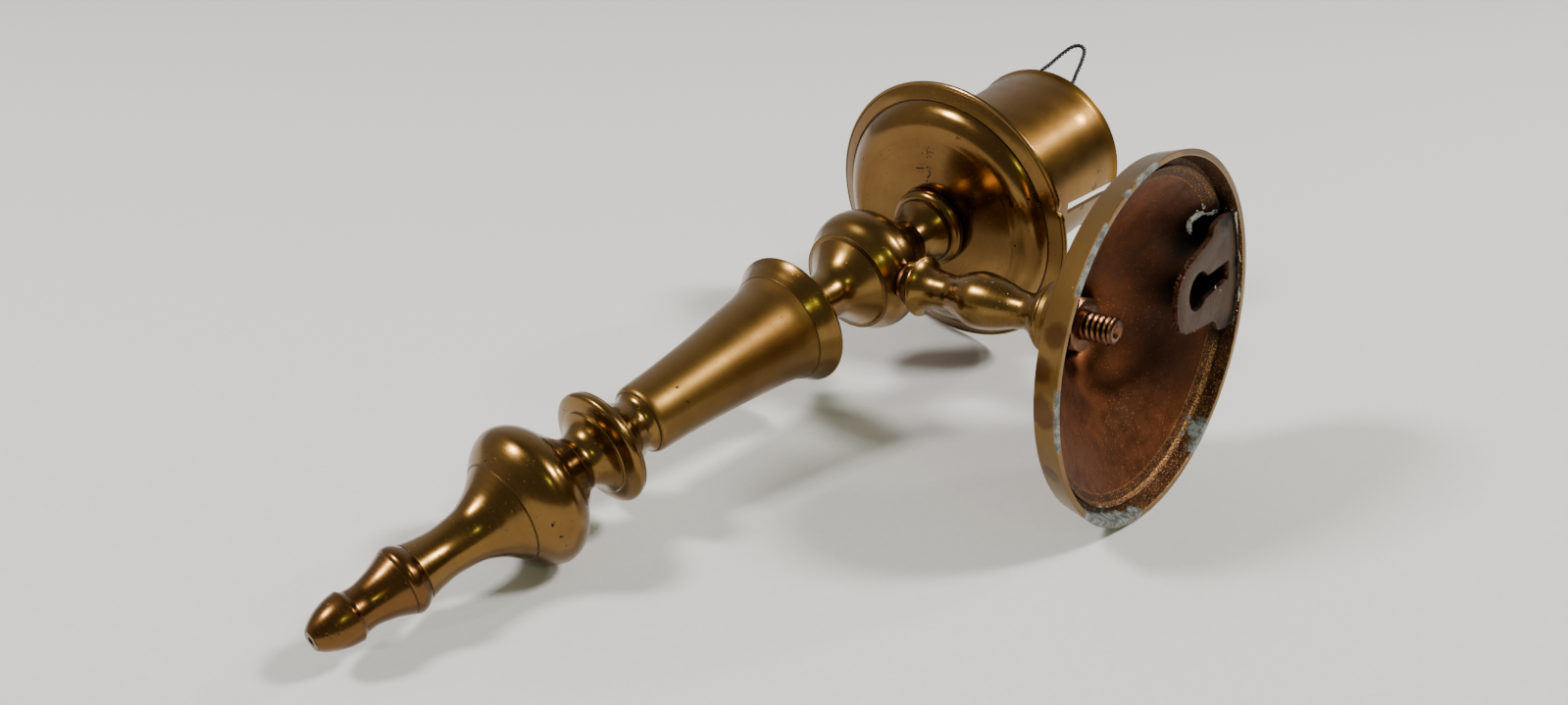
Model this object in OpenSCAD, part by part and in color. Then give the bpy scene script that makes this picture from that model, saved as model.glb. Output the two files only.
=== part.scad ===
// Brass wall sconce for one candle.
// A hollow round plate hangs on the wall. A turned arm stands out from it and carries a ball,
// with a drip pan and a candle cup above and a long turned drop below.
// The origin is the centre of the plate where it meets the wall. The wall is the plane y = 0,
// the arm runs along -Y and the stem stands along Z at the arm's front end.

/* [Wall plate] */
// Diameter of the plate at the wall
plate_d = 76.2; // [70:0.1:84]
// Height of the rim band that shows at the plate's edge
band_h = 5.5; // [4.5:0.1:7]
// How much the band tapers in from the wall to its front edge, on the radius
band_taper = 1.3; // [0.5:0.1:2]
// Width of the flat ring that rests on the wall
land_w = 1.3; // [1:0.1:2]
// Distance from the wall to the flat hub face
plate_rise = 24; // [22:0.5:27]
// Diameter of the hub
hub_d = 16.6; // [16:0.1:18]
// Thickness of the hub under the nut
hub_t = 1.9; // [1.5:0.1:3]
// Wall of the cast face, measured along the arm
plate_wall = 2.2; // [1.8:0.1:2.6]

/* [Hanger] */
// Thickness of the sheet hanger
hanger_t = 1.2; // [0.8:0.1:1.6]
// How far the hanger lies behind the wall plane
hanger_in = 1.5; // [1.2:0.1:2]
// How far the hanger was soldered off the centre line
hanger_off = 1; // [0:0.1:2]
// Width of the rounded tongue
tongue_w = 15.2; // [13:0.1:18]
// Width over the shoulders at the rim
shoulder_w = 25.6; // [22:0.1:30]
// Height of the tongue's end above the arm axis
tongue_z = 8.5; // [7:0.1:10]
// Height of the shoulders above the arm axis
shoulder_z = 27; // [25:0.1:29]
// Diameter of the round keyhole
key_d = 7.6; // [6.5:0.1:8.5]
// Width of the keyhole's slot
slot_w = 4.4; // [4:0.1:5]
// Height of the keyhole's centre above the arm axis
key_z = 19.6; // [18:0.1:21]
// Height of the slot's closed end above the arm axis
slot_z = 32; // [29:0.1:33]

/* [Arm] */
// Distance from the wall to the stem's axis
reach = 76.2; // [70:0.1:84]
// Diameter of the threaded rod through the arm
rod_d = 6.2; // [5.8:0.1:6.6]
// Length of rod that stands out past the nut
rod_tail = 7.1; // [4:0.1:9]
// Length of rod inside the ball
rod_in_ball = 6.8; // [5:0.1:8]
// Width of the hexagon nut across its flats
nut_flats = 11.1; // [10:0.1:12.5]
// Thickness of the nut
nut_t = 5.5; // [4.5:0.1:6.5]
// Largest diameter of the beaded ring between plate and arm
ring_d = 15.2; // [14:0.1:16]
// Thickness of the beaded ring
ring_t = 4.2; // [3.4:0.1:5]
// Diameter of the arm's necks
arm_neck_d = 8.1; // [7.9:0.1:9]
// Largest diameter of the arm's swelling
arm_belly_d = 12.8; // [11:0.1:15]
// Diameter of the flared ring at the arm's front
arm_flare_d = 14; // [12:0.1:16]
// Diameter of the thin disc between arm and ball
disc_d = 9.8; // [9:0.1:11]
// Thickness of that disc
disc_t = 0.9; // [0.6:0.1:1.4]

/* [Ball and neck] */
// Largest diameter of the ball
ball_d = 29.4; // [28:0.1:32]
// Height of the ball's lower edge under the arm axis
ball_drop = 5.8; // [5:0.1:6.6]
// Diameter of the ball's lower edge
ball_edge_d = 23.8; // [22:0.1:25]
// Height of the ball's middle above the arm axis
ball_mid = 0.9; // [0:0.1:1.5]
// Height of the neck's top above the arm axis
neck_top = 24.2; // [22:0.1:27]
// Smallest diameter of the upper neck
neck_d = 11.7; // [10.5:0.1:13]
// Diameter of the neck's top edge
neck_top_d = 16.6; // [15:0.1:18]
// Diameter of the flat that the arm's disc bears on
spot_d = 10.6; // [10.4:0.1:12]
// How far that flat is cut into the ball
spot_in = 0.7; // [0.5:0.1:1]
// Outer diameter of the round bead under the pan
bead_d = 20.2; // [19:0.1:22]
// Thickness of that bead
bead_t = 4.1; // [3.5:0.1:5]

/* [Drip pan] */
// Diameter of the pan's rim
pan_d = 70; // [66:0.1:76]
// Height of the rim over the pan's underside
pan_h = 8.3; // [7:0.1:10]
// Diameter of the pan's flat bottom
pan_flat_d = 46; // [44:0.1:50]
// Diameter of the groove between the dish and its rim band
pan_groove_d = 62; // [60:0.1:64]
// Thickness of the pan
pan_t = 1.2; // [1:0.1:1.5]

/* [Candle cup] */
// Outer diameter of the cup
cup_d = 44.8; // [43:0.1:46]
// Height of the cup
cup_h = 48.8; // [42:0.1:56]
// Wall of the cup
cup_wall = 1.2; // [0.9:0.1:1.5]
// How much the mouth flares out, on the radius
cup_flare = 0.9; // [0.5:0.1:1.3]
// Width of the slit in the cup's wall
slit_w = 2.2; // [1.5:0.1:3]
// Length of the slit, down from the mouth
slit_l = 22.9; // [18:0.1:28]
// Direction of the slit, in degrees from +X towards the wall
slit_at = 104; // [90:1:120]
// Diameter of the screw that holds cup and pan
screw_d = 4.8; // [4:0.1:5.2]
// Length of that screw under its head
screw_l = 18; // [14:0.1:20]
// Diameter of the screw's round head
head_d = 9; // [8.5:0.1:10]
// Height of the screw's head
head_h = 2.8; // [2:0.1:3.5]
// Diameter of the washer under the head
washer_d = 12; // [11:0.1:14]
// Thickness of that washer
washer_t = 0.9; // [0.7:0.1:1.2]

/* [Candle wire] */
// Diameter of the wire
wire_d = 0.7; // [0.6:0.05:0.9]
// Height of the loop's top over the cup's mouth
wire_over = 15.2; // [10:0.1:18]
// Distance of the wire's legs from the stem's axis, along X
wire_x = 18.9; // [17.5:0.1:19.2]
// Distance between the two legs
wire_gap = 9.8; // [8:0.1:10.5]
// How far the pair of legs is shifted towards the wall
wire_shift = 2.8; // [2:0.1:3]
// How far the loop's top leans out past the legs
wire_lean = 5; // [3:0.1:6]

/* [Drop] */
// Height of the funnel between ball and cone
funnel_h = 21.2; // [19:0.1:24]
// Smallest diameter of the funnel
funnel_d = 11.6; // [10:0.1:13]
// Diameter of the funnel's foot
funnel_foot_d = 15.2; // [13.5:0.1:17]
// Height of the flared lip on the cone
lip_h = 4.9; // [4:0.1:6]
// Diameter of the lip's rim
lip_d = 30.6; // [29:0.1:33]
// How deep the lip's top is dished
lip_dish = 1.6; // [1:0.1:2]
// Length of the cone
cone_l = 42; // [36:0.1:48]
// Diameter of the cone where the lip sits
cone_top_d = 25.2; // [24.5:0.1:27]
// Diameter of the cone at its lower end
cone_end_d = 15.2; // [14:0.1:17]
// Height of the collar spool under the cone
collar_h = 18.1; // [16:0.1:21]
// Diameter of the collar's disc
collar_d = 23.7; // [22:0.1:26]
// Smallest diameter of the collar's necks
collar_neck_d = 11.7; // [10.5:0.1:13]
// Height of the vase's bulb
bulb_h = 16.2; // [14:0.1:19]
// Largest diameter of the bulb
bulb_d = 29.4; // [27:0.1:32]
// Length of the vase's tapered foot
foot_l = 19.5; // [17:0.1:23]
// Diameter of the foot where the bulb sits on it
foot_top_d = 20.6; // [19:0.1:22]
// Smallest diameter of the foot
foot_waist_d = 9.6; // [8.8:0.1:11]
// Height of the small bead over the tip
tip_bead_h = 3.5; // [3:0.1:4.5]
// Diameter of the small bead
tip_bead_d = 13.5; // [12.9:0.1:15]
// Length of the tip
tip_l = 16.8; // [15:0.1:20]
// Diameter of the tip's nut-shaped end
tip_d = 10; // [9.2:0.1:11]
// Diameter of the tip's neck
tip_neck_d = 8.2; // [7.6:0.1:9]
// Diameter of the tip's cut end
tip_end_d = 4; // [3:0.1:5]
// Diameter of the rod that ties the drop together
tie_d = 4; // [3.5:0.1:4.4]

/* [Clearances] */
// Clearance of the ball's bore on the arm rod, on the radius
pivot_clear = 0.05; // [0.02:0.01:0.1]
// Clearance of plain holes on their rods and screws, on the radius
hole_clear = 0.15; // [0.1:0.01:0.25]
// Gap between the arm's disc and the ball
disc_gap = 0.05; // [0.03:0.01:0.1]
// Gap between the hanger's edge and the plate's wall
hanger_gap = 0.3; // [0.2:0.05:0.6]

/* [Hidden] */
$fn = 72;
// Straight steps between two points of a smooth outline
curve_steps = 4;
// Flat sides round the candle wire
wire_sides = 10;
// How far a cutter runs past the face that it cuts
over = 1;

plate_r = plate_d / 2;
band_r = plate_r - band_taper;
land_r = plate_r - land_w;
// The hollow behind the plate: its wall leans in from the land down to a ledge and a small ridge.
pocket_h = band_h - plate_wall;
pocket_lean = 0.9;
ledge_w = 1.3;
ridge_w = 0.7;
ridge_h = 0.8;
hub_in = plate_rise - hub_t;
nut_face = hub_in - nut_t;
rod_back = nut_face - rod_tail;
ring_front = plate_rise + ring_t;
ball_r = ball_d / 2;
spot_y = reach - ball_r + spot_in;
disc_front = spot_y - disc_gap;
arm_front = disc_front - disc_t;
rod_front = spot_y + rod_in_ball;
bore_end = rod_front + over;
hanger_r = pocket_wall(hanger_in + hanger_t) - hanger_gap;

bead_top = neck_top + bead_t;
pan_floor = bead_top + pan_t;
cup_floor = pan_floor + cup_wall;
cup_mouth = pan_floor + cup_h;
cup_r = cup_d / 2;
bore_r = cup_r - cup_wall;
screw_under = cup_floor + wire_d + washer_t;
screw_end = screw_under - screw_l;
wire_base = cup_floor + wire_d / 2;

funnel_base = -ball_drop - funnel_h;
lip_top = funnel_base + lip_dish;
lip_base = lip_top - lip_h;
cone_base = lip_base - cone_l;
collar_base = cone_base - collar_h;
bulb_base = collar_base - bulb_h;
foot_base = bulb_base - foot_l;
tip_top = foot_base - tip_bead_h;
tip_base = tip_top - tip_l;
tie_bore_r = tie_d / 2 + hole_clear;
// The rod ends inside the ball and inside the tip.
tie_in_ball = 5;
tie_in_tip = 8;
tie_top = tie_in_ball - ball_drop;
tie_base = tip_top - tie_in_tip;

// Radius of the hollow's wall at depth h behind the wall plane
function pocket_wall(h) = land_r - pocket_lean * h / pocket_h;

// Direction of a smooth line at its point i
function tangent(p, i) =
    let (a = p[max(i - 1, 0)], b = p[i], c = p[min(i + 1, len(p) - 1)])
    (c - a) / (norm(c - b) + norm(b - a));

// A point between points i and i + 1 of a smooth line, at share t
function between(p, i, t) =
    let (l = norm(p[i + 1] - p[i]))
    p[i] * (2 * t * t * t - 3 * t * t + 1)
    + p[i + 1] * (3 * t * t - 2 * t * t * t)
    + tangent(p, i) * l * (t * t * t - 2 * t * t + t)
    + tangent(p, i + 1) * l * (t * t * t - t * t);

// A smooth line through the points p, in flat or solid space
function smooth(p, steps = curve_steps) = concat(
    [for (i = [0 : len(p) - 2]) for (k = [0 : steps - 1]) between(p, i, k / steps)],
    [p[len(p) - 1]]
);

// A smooth outline given as shares: 0 to 1 across from radius r0 to r1, 0 to 1 up the height h
function turned_line(shape, r0, r1, h, z = 0) =
    smooth([for (s = shape) [r0 + (r1 - r0) * s[0], z + h * s[1]]]);

// The same points in the other order
function backwards(p) = [for (i = [len(p) - 1 : -1 : 0]) p[i]];

// Turns a half outline about the stem's axis, with a hole of radius hole along it.
// The outline runs upwards along the outside.
module turned(line, hole) {
    first = line[0];
    last = line[len(line) - 1];
    rotate_extrude()
        polygon(concat([[hole, first[1]]], line, [[hole, last[1]]]));
}

// Things made along +Z are stood out from the wall, so that their height is the distance from it.
module out_from_wall() {
    rotate([90, 0, 0])
        children();
}

module on_stem(z = 0) {
    translate([0, -reach, z])
        children();
}

// Corner points of one ring round the path p at its point i. The path never runs along X, so X
// serves to keep the rings from twisting.
function wire_ring(p, i, r) =
    let (t = tangent(p, i), u = cross(t, [1, 0, 0]), v = cross(t, u))
    [for (k = [0 : wire_sides - 1])
        p[i] + r * (cos(360 * k / wire_sides) * u / norm(u) + sin(360 * k / wire_sides) * v / norm(v))];

// A round wire along the path p, as a chain of rings
module wire_sweep(p, d) {
    rings = len(p);
    last = (rings - 1) * wire_sides;
    polyhedron(
        points = [for (i = [0 : rings - 1]) each wire_ring(p, i, d / 2)],
        faces = concat(
            [for (i = [0 : rings - 2]) for (k = [0 : wire_sides - 1])
                let (a = i * wire_sides + k, b = i * wire_sides + (k + 1) % wire_sides)
                [a, a + wire_sides, b + wire_sides, b]],
            [[for (k = [0 : wire_sides - 1]) k]],
            [[for (k = [wire_sides - 1 : -1 : 0]) last + k]]
        )
    );
}

// The cast plate: a plain rim band, a shallow dome and a steep hub. The hollow behind it follows
// the dome at one wall thickness, past a ledge and a ridge near the rim, down to a well that
// holds the nut.
module wall_plate() {
    step_w = 1.3;
    hub_round = 0.5;
    hub_shoulder = 1.5;
    well_r = nut_flats / 2 / cos(30) + 1;
    ledge_r = pocket_wall(pocket_h) - ledge_w;
    dome_r = ledge_r - ridge_w;
    hole_r = rod_d / 2 + hole_clear;
    face_h = plate_rise - hub_shoulder - band_h;
    // From the hub out to the rim
    face = [
        [0, 1], [0.02, 0.91], [0.1, 0.8], [0.25, 0.67], [0.43, 0.51], [0.65, 0.31], [0.8, 0.18],
        [0.92, 0.075], [1, 0]
    ];
    outer = turned_line(face, hub_d / 2, band_r - step_w, face_h, band_h);
    inner = turned_line(face, well_r, dome_r, face_h, pocket_h);
    color("darkgoldenrod")
        out_from_wall()
            rotate_extrude()
                polygon(concat(
                    [[land_r, 0], [plate_r, 0], [band_r, band_h]],
                    backwards(outer),
                    [[hub_d / 2, plate_rise - hub_round], [hub_d / 2 - hub_round, plate_rise]],
                    [[hole_r, plate_rise], [hole_r, hub_in], [well_r, hub_in]],
                    inner,
                    [[ledge_r, pocket_h - ridge_h], [ledge_r, pocket_h]],
                    [[pocket_wall(pocket_h), pocket_h]]
                ));
}

// Outline of the sheet hanger, seen from the wall: a round-ended tongue that widens to shoulders
// and ends against the rim.
module hanger_outline() {
    tongue_r = tongue_w / 2;
    half = shoulder_w / 2;
    waist = (tongue_r + half) / 2;
    translate([0, tongue_z + tongue_r])
        circle(r = tongue_r);
    intersection() {
        polygon([
            [-tongue_r, tongue_z + tongue_r], [tongue_r, tongue_z + tongue_r],
            [waist, shoulder_z - 1.5], [half, shoulder_z], [half, plate_r],
            [-half, plate_r], [-half, shoulder_z], [-waist, shoulder_z - 1.5]
        ]);
        translate([-hanger_off, 0])
            circle(r = hanger_r);
    }
}

module keyhole_outline() {
    translate([0, key_z])
        circle(d = key_d);
    translate([-slot_w / 2, key_z])
        square([slot_w, slot_z - slot_w / 2 - key_z]);
    translate([0, slot_z - slot_w / 2])
        circle(d = slot_w);
}

module hanger_plate() {
    color("dimgray")
        translate([hanger_off, -hanger_in, 0])
            out_from_wall()
                linear_extrude(hanger_t)
                    difference() {
                        hanger_outline();
                        keyhole_outline();
                    }
}

// The solder run that holds the hanger's edge to the plate's wall
module hanger_solder() {
    half_angle = asin((shoulder_w / 2 - 1) / hanger_r);
    bead_w = 1.2;
    crown = 0.6;
    low = hanger_in - crown;
    color("silver")
        out_from_wall()
            rotate([0, 0, 90 - half_angle])
                rotate_extrude(angle = 2 * half_angle)
                    polygon([
                        [hanger_r - bead_w, hanger_in], [hanger_r - bead_w * 0.7, low + 0.2],
                        [hanger_r, low], [pocket_wall(low), low], [pocket_wall(hanger_in), hanger_in]
                    ]);
}

// The nut in the hollow pulls the arm's rod and the plate's hub together.
module plate_nut() {
    corner_r = nut_flats / 2 / cos(30);
    color("peru")
        out_from_wall()
            translate([0, 0, nut_face])
                difference() {
                    intersection() {
                        cylinder(h = nut_t, r = corner_r, $fn = 6);
                        union() {
                            cylinder(h = 1, r1 = nut_flats / 2, r2 = corner_r);
                            translate([0, 0, 1])
                                cylinder(h = nut_t - 1, r = corner_r);
                        }
                    }
                    translate([0, 0, -over])
                        cylinder(h = nut_t + 2 * over, r = rod_d / 2 + pivot_clear);
                }
}

// The threaded rod that runs from the hollow through plate, ring, arm and disc into the ball
module arm_rod() {
    tip_chamfer = 0.6;
    color("peru")
        out_from_wall()
            translate([0, 0, rod_back]) {
                cylinder(h = tip_chamfer, r1 = rod_d / 2 - tip_chamfer, r2 = rod_d / 2);
                translate([0, 0, tip_chamfer])
                    cylinder(h = rod_front - rod_back - tip_chamfer, d = rod_d);
            }
}

// A turned ring between the hub and the arm: a round bead and two small steps
module arm_ring() {
    end_r = arm_neck_d / 2 + 0.6;
    bead = [[0.9, 0], [1, 0.1], [0.95, 0.26], [0.7, 0.4]];
    middle = [[0.58, 0.42], [0.52, 0.54], [0.3, 0.67]];
    front = [[0.2, 0.69], [0.1, 0.84], [0, 1]];
    color("goldenrod")
        out_from_wall()
            turned(
                concat(
                    turned_line(bead, end_r, ring_d / 2, ring_t, plate_rise),
                    turned_line(middle, end_r, ring_d / 2, ring_t, plate_rise),
                    turned_line(front, end_r, ring_d / 2, ring_t, plate_rise)
                ),
                rod_d / 2 + hole_clear
            );
}

// The arm: a neck, a long swelling, a second neck and a flared ring in front
module arm() {
    neck_r = arm_neck_d / 2;
    belly_r = arm_belly_d / 2;
    flare_r = arm_flare_d / 2;
    length = arm_front - ring_front;
    // Shares of the way from the ring to the disc
    swelling = [
        [0.15, 0], [0, 0.05], [0.05, 0.09], [0.17, 0.15], [0.4, 0.21], [0.66, 0.27],
        [0.86, 0.33], [1, 0.42], [0.86, 0.48], [0.6, 0.54], [0.24, 0.6], [0.02, 0.66]
    ];
    flare = [[0.02, 0.66], [0.08, 0.72], [0.15, 0.78], [0.4, 0.84], [0.75, 0.88], [0.97, 0.895]];
    front = [[1, 0.905], [0.75, 0.935], [0.52, 0.965], [0.35, 1]];
    color("goldenrod")
        out_from_wall()
            turned(
                concat(
                    turned_line(swelling, neck_r, belly_r, length, ring_front),
                    turned_line(flare, neck_r, flare_r, length, ring_front),
                    turned_line(front, neck_r, flare_r, length, ring_front)
                ),
                rod_d / 2 + hole_clear
            );
}

module arm_disc() {
    color("saddlebrown")
        out_from_wall()
            translate([0, 0, arm_front])
                difference() {
                    cylinder(h = disc_t, d = disc_d);
                    translate([0, 0, -over])
                        cylinder(h = disc_t + 2 * over, r = rod_d / 2 + hole_clear);
                }
}

// The ball and the neck above it are one turned piece. A flat and a bore towards the wall take
// the arm, and tapped holes above and below take the cup's screw and the tie rod.
module ball() {
    low_h = ball_drop + ball_mid;
    high_h = neck_top - ball_mid;
    low_shape = [[0, 0], [0.36, 0.27], [0.8, 0.57], [1, 1]];
    high_shape = [[1, 0], [0.95, 0.14], [0.83, 0.22], [0.62, 0.305], [0.43, 0.39], [0.245, 0.475],
        [0.1, 0.56], [0, 0.69]];
    throat_shape = [[0, 0.69], [0.25, 0.79], [0.55, 0.87], [0.93, 0.96], [1, 1]];
    color("goldenrod")
        difference() {
            on_stem()
                turned(
                    concat(
                        turned_line(low_shape, ball_edge_d / 2, ball_r, low_h, -ball_drop),
                        turned_line(high_shape, neck_d / 2, ball_r, high_h, ball_mid),
                        turned_line(throat_shape, neck_d / 2, neck_top_d / 2, high_h, ball_mid)
                    ),
                    0
                );
            out_from_wall()
                translate([0, 0, spot_y - ball_r])
                    cylinder(h = ball_r, d = spot_d);
            out_from_wall()
                translate([0, 0, spot_y - ball_r])
                    cylinder(h = bore_end - spot_y + ball_r, r = rod_d / 2 + pivot_clear);
            on_stem(-ball_drop - over)
                cylinder(h = over + tie_in_ball + over, r = tie_bore_r);
            on_stem(screw_end - over)
                cylinder(h = neck_top - screw_end + 2 * over, r = screw_d / 2 + hole_clear);
        }
}

// A thick ring with a full round edge between the neck and the pan
module round_bead() {
    color("goldenrod")
        on_stem(neck_top)
            rotate_extrude() {
                inner = screw_d / 2 + hole_clear;
                translate([inner, 0])
                    square([bead_d / 2 - bead_t / 2 - inner, bead_t]);
                translate([bead_d / 2 - bead_t / 2, bead_t / 2])
                    circle(d = bead_t);
            }
}

// The drip pan: a shallow dish with a turned groove and a flared rim band
module drip_pan() {
    flat_r = pan_flat_d / 2;
    groove_r = pan_groove_d / 2;
    pan_r = pan_d / 2;
    // The groove lies at this share of the pan's height, measured under the metal
    groove_share = 0.6;
    groove_h = (pan_h - pan_t) * groove_share;
    rim_h = pan_h - pan_t;
    groove_w = 0.25;
    dish = [[0, 0], [0.25, 0.07], [0.5, 0.25], [0.73, 0.5], [0.9, 0.79], [1, 1]];
    under_dish = turned_line(dish, flat_r, groove_r, groove_h);
    under_band = turned_line(
        [[0, 0], [0.45, 0.42], [1, 1]], groove_r + groove_w, pan_r, rim_h - groove_h, groove_h
    );
    over_band = turned_line(
        [[0.9, 1], [0.4, 0.44], [0, 0]], groove_r - groove_w, pan_r, rim_h - groove_h, groove_h + pan_t
    );
    over_dish = backwards(turned_line(dish, flat_r, groove_r - pan_t / 2, groove_h, pan_t));
    color("goldenrod")
        on_stem(bead_top)
            rotate_extrude()
                polygon(concat(
                    [[screw_d / 2 + hole_clear, 0]],
                    under_dish,
                    [[groove_r, groove_h + groove_w]],
                    under_band,
                    over_band,
                    over_dish,
                    [[screw_d / 2 + hole_clear, pan_t]]
                ));
}

// The cup: a drawn tube with a floor, a slightly flared mouth and one open slit towards the wall
module candle_cup() {
    // The mouth starts to flare this far below its edge
    flare_from = 5;
    mouth = [[0, 0], [0.12, 0.4], [0.45, 0.75], [1, 1]];
    outside = turned_line(mouth, cup_r, cup_r + cup_flare, flare_from, cup_h - flare_from);
    inside = turned_line(mouth, bore_r, bore_r + cup_flare, flare_from, cup_h - flare_from);
    color("gold")
        on_stem(pan_floor)
            difference() {
                rotate_extrude()
                    polygon(concat(
                        [[screw_d / 2 + hole_clear, 0], [cup_r, 0]],
                        outside,
                        backwards(inside),
                        [[bore_r, cup_wall], [screw_d / 2 + hole_clear, cup_wall]]
                    ));
                rotate([0, 0, slit_at])
                    translate([bore_r - over, -slit_w / 2, cup_h - slit_l])
                        cube([cup_wall + cup_flare + 2 * over, slit_w, slit_l + over]);
            }
}

// The round-headed screw through cup, pan and bead into the neck
module cup_screw() {
    color("peru")
        on_stem()
            union() {
                translate([0, 0, screw_end])
                    cylinder(h = screw_l, d = screw_d);
                translate([0, 0, screw_under])
                    difference() {
                        intersection() {
                            cylinder(h = head_h, d = head_d);
                            translate([0, 0, head_h - head_d * 0.75])
                                sphere(r = head_d * 0.75);
                        }
                        translate([-head_d, -0.6, head_h - 1.1])
                            cube([2 * head_d, 1.2, 1.1 + over]);
                    }
            }
}

module cup_washer() {
    color("peru")
        on_stem(cup_floor + wire_d)
            difference() {
                cylinder(h = washer_t, d = washer_d);
                translate([0, 0, -over])
                    cylinder(h = washer_t + 2 * over, r = screw_d / 2 + hole_clear);
            }
}

// Points of the wire, from the stem's axis. The legs stand near the cup's wall, lean out over
// the mouth and meet in a tight loop.
wire_left = [wire_x, wire_shift - wire_gap / 2];
wire_right = [wire_x, wire_shift + wire_gap / 2];
wire_top = cup_mouth + wire_over;
wire_mid = wire_shift + 0.8;

function wire_leg(side, z) = [side[0] + 0.5 * (z - wire_base) / (cup_mouth - wire_base), side[1], z];

// The loop narrows to its top, which is a smooth curve through a few points.
wire_bow = [
    [0, -0.5, 0], [0.32, -0.37, 0.34], [0.72, -0.22, 0.72], [0.93, -0.12, 0.93], [1, 0, 1],
    [0.93, 0.12, 0.93], [0.72, 0.22, 0.72], [0.32, 0.37, 0.34], [0, 0.5, 0]
];
wire_loop = smooth(
    [for (b = wire_bow) [
        wire_x + 0.5 + wire_lean * b[0],
        wire_shift + (wire_mid - wire_shift) * b[2] + wire_gap * b[1],
        cup_mouth + wire_over * b[2]
    ]],
    2
);

// The upright part of the wire swings about the place where it rises from the cup's floor.
module candle_wire() {
    rise = wire_base + wire_d / 2 + disc_gap;
    color("slategray")
        on_stem()
            wire_sweep(
                concat([wire_leg(wire_left, rise)], wire_loop, [wire_leg(wire_right, rise)]),
                wire_d
            );
}

// The lower part of the wire lies on the cup's floor, with both ends held under the washer.
module wire_foot() {
    held = washer_d / 2 - 1.5;
    color("slategray")
        on_stem(wire_base)
            for (side = [wire_left, wire_right])
                rotate([0, 0, atan2(side[1], side[0])])
                    translate([held, 0, 0])
                        rotate([0, 90, 0])
                            cylinder(h = norm(side) + wire_d / 2 - held, d = wire_d, $fn = 24);
}

// The funnel under the ball: a foot, a long neck and a wide trumpet mouth
module funnel() {
    foot = [[1, 0], [0.75, 0.05], [0.33, 0.12], [0.08, 0.22], [0, 0.4], [0, 0.61]];
    mouth = [[0, 0.61], [0.06, 0.71], [0.24, 0.8], [0.52, 0.89], [0.85, 0.98], [0.97, 1]];
    color("goldenrod")
        on_stem(funnel_base)
            turned(
                concat(
                    turned_line(foot, funnel_d / 2, funnel_foot_d / 2, funnel_h),
                    turned_line(mouth, funnel_d / 2, ball_edge_d / 2, funnel_h)
                ),
                tie_bore_r
            );
}

// The flared lip on the cone, with a rounded rim and a dished top that the funnel stands in
module cone_lip() {
    base_r = cone_top_d / 2 + 0.1;
    rim_r = lip_d / 2;
    rim = 0.45;
    outside = [[0, 0], [0.2, 0.2], [0.42, 0.42], [0.66, 0.64], [0.9, 0.83]];
    color("goldenrod")
        on_stem(lip_base)
            rotate_extrude()
                polygon(concat(
                    [[tie_bore_r, 0]],
                    turned_line(outside, base_r, rim_r, lip_h),
                    [for (a = [-30 : 20 : 90]) [rim_r - rim + rim * cos(a), lip_h - rim + rim * sin(a)]],
                    smooth([
                        [rim_r - 2 * rim, lip_h], [rim_r - 2.2, lip_h - lip_dish * 0.5],
                        [funnel_foot_d / 2 + 1.6, lip_h - lip_dish]
                    ]),
                    [[tie_bore_r, lip_h - lip_dish]]
                ));
}

// The long cone stands on its small end, which has a low step and a groove.
module cone() {
    step_h = 0.9;
    step_in = 0.4;
    end_r = cone_end_d / 2;
    side = [[0, 0.03], [0.06, 0.2], [0.28, 0.485], [0.56, 0.745], [0.78, 0.92], [1, 1]];
    color("goldenrod")
        on_stem(cone_base)
            turned(
                concat(
                    [[end_r - step_in, 0], [end_r - step_in, step_h]],
                    turned_line(side, end_r, cone_top_d / 2, cone_l)
                ),
                tie_bore_r
            );
}

// The collar: a waisted spool with a thin disc that stands out from its middle
module collar() {
    neck_r = collar_neck_d / 2;
    disc_r = collar_d / 2;
    lower = [[0.09, 0], [0, 0.09], [0.04, 0.17], [0.17, 0.275], [0.56, 0.385], [0.88, 0.475]];
    edge = [[0.97, 0.49], [1, 0.508], [0.97, 0.53], [0.85, 0.55]];
    upper = [[0.76, 0.56], [0.42, 0.64], [0.2, 0.73], [0.06, 0.83], [0, 0.92], [0.04, 1]];
    color("goldenrod")
        on_stem(collar_base)
            turned(
                concat(
                    turned_line(lower, neck_r, disc_r, collar_h),
                    turned_line(edge, neck_r, disc_r, collar_h),
                    turned_line(upper, neck_r, disc_r, collar_h)
                ),
                tie_bore_r
            );
}

// The vase's bulb sits on the foot at a fine groove and narrows to the collar's neck.
module vase_bulb() {
    neck_r = collar_neck_d / 2;
    groove = 0.15;
    low_share = 0.37;
    lower = [[0, 0], [0.55, 0.36], [0.88, 0.7], [1, 1]];
    upper = [[1, 0], [0.95, 0.21], [0.8, 0.41], [0.53, 0.61], [0.29, 0.8], [0.06, 1]];
    color("goldenrod")
        on_stem(bulb_base)
            turned(
                concat(
                    turned_line(lower, foot_top_d / 2 + groove, bulb_d / 2, bulb_h * low_share),
                    turned_line(
                        upper, neck_r, bulb_d / 2, bulb_h * (1 - low_share), bulb_h * low_share
                    )
                ),
                tie_bore_r
            );
}

module vase_foot() {
    shape = [
        [0.17, 0], [0.05, 0.18], [0, 0.34], [0.07, 0.55], [0.17, 0.655], [0.45, 0.81],
        [0.72, 0.91], [1, 1]
    ];
    color("goldenrod")
        on_stem(foot_base)
            turned(
                turned_line(shape, foot_waist_d / 2, foot_top_d / 2, foot_l),
                tie_bore_r
            );
}

module tip_bead() {
    shape = [[0.6, 0], [0.9, 0.16], [1, 0.36], [0.86, 0.6], [0.45, 0.86], [0.2, 1]];
    color("goldenrod")
        on_stem(tip_top)
            turned(
                turned_line(shape, foot_waist_d / 2 + 0.6, tip_bead_d / 2, tip_bead_h),
                tie_bore_r
            );
}

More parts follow.
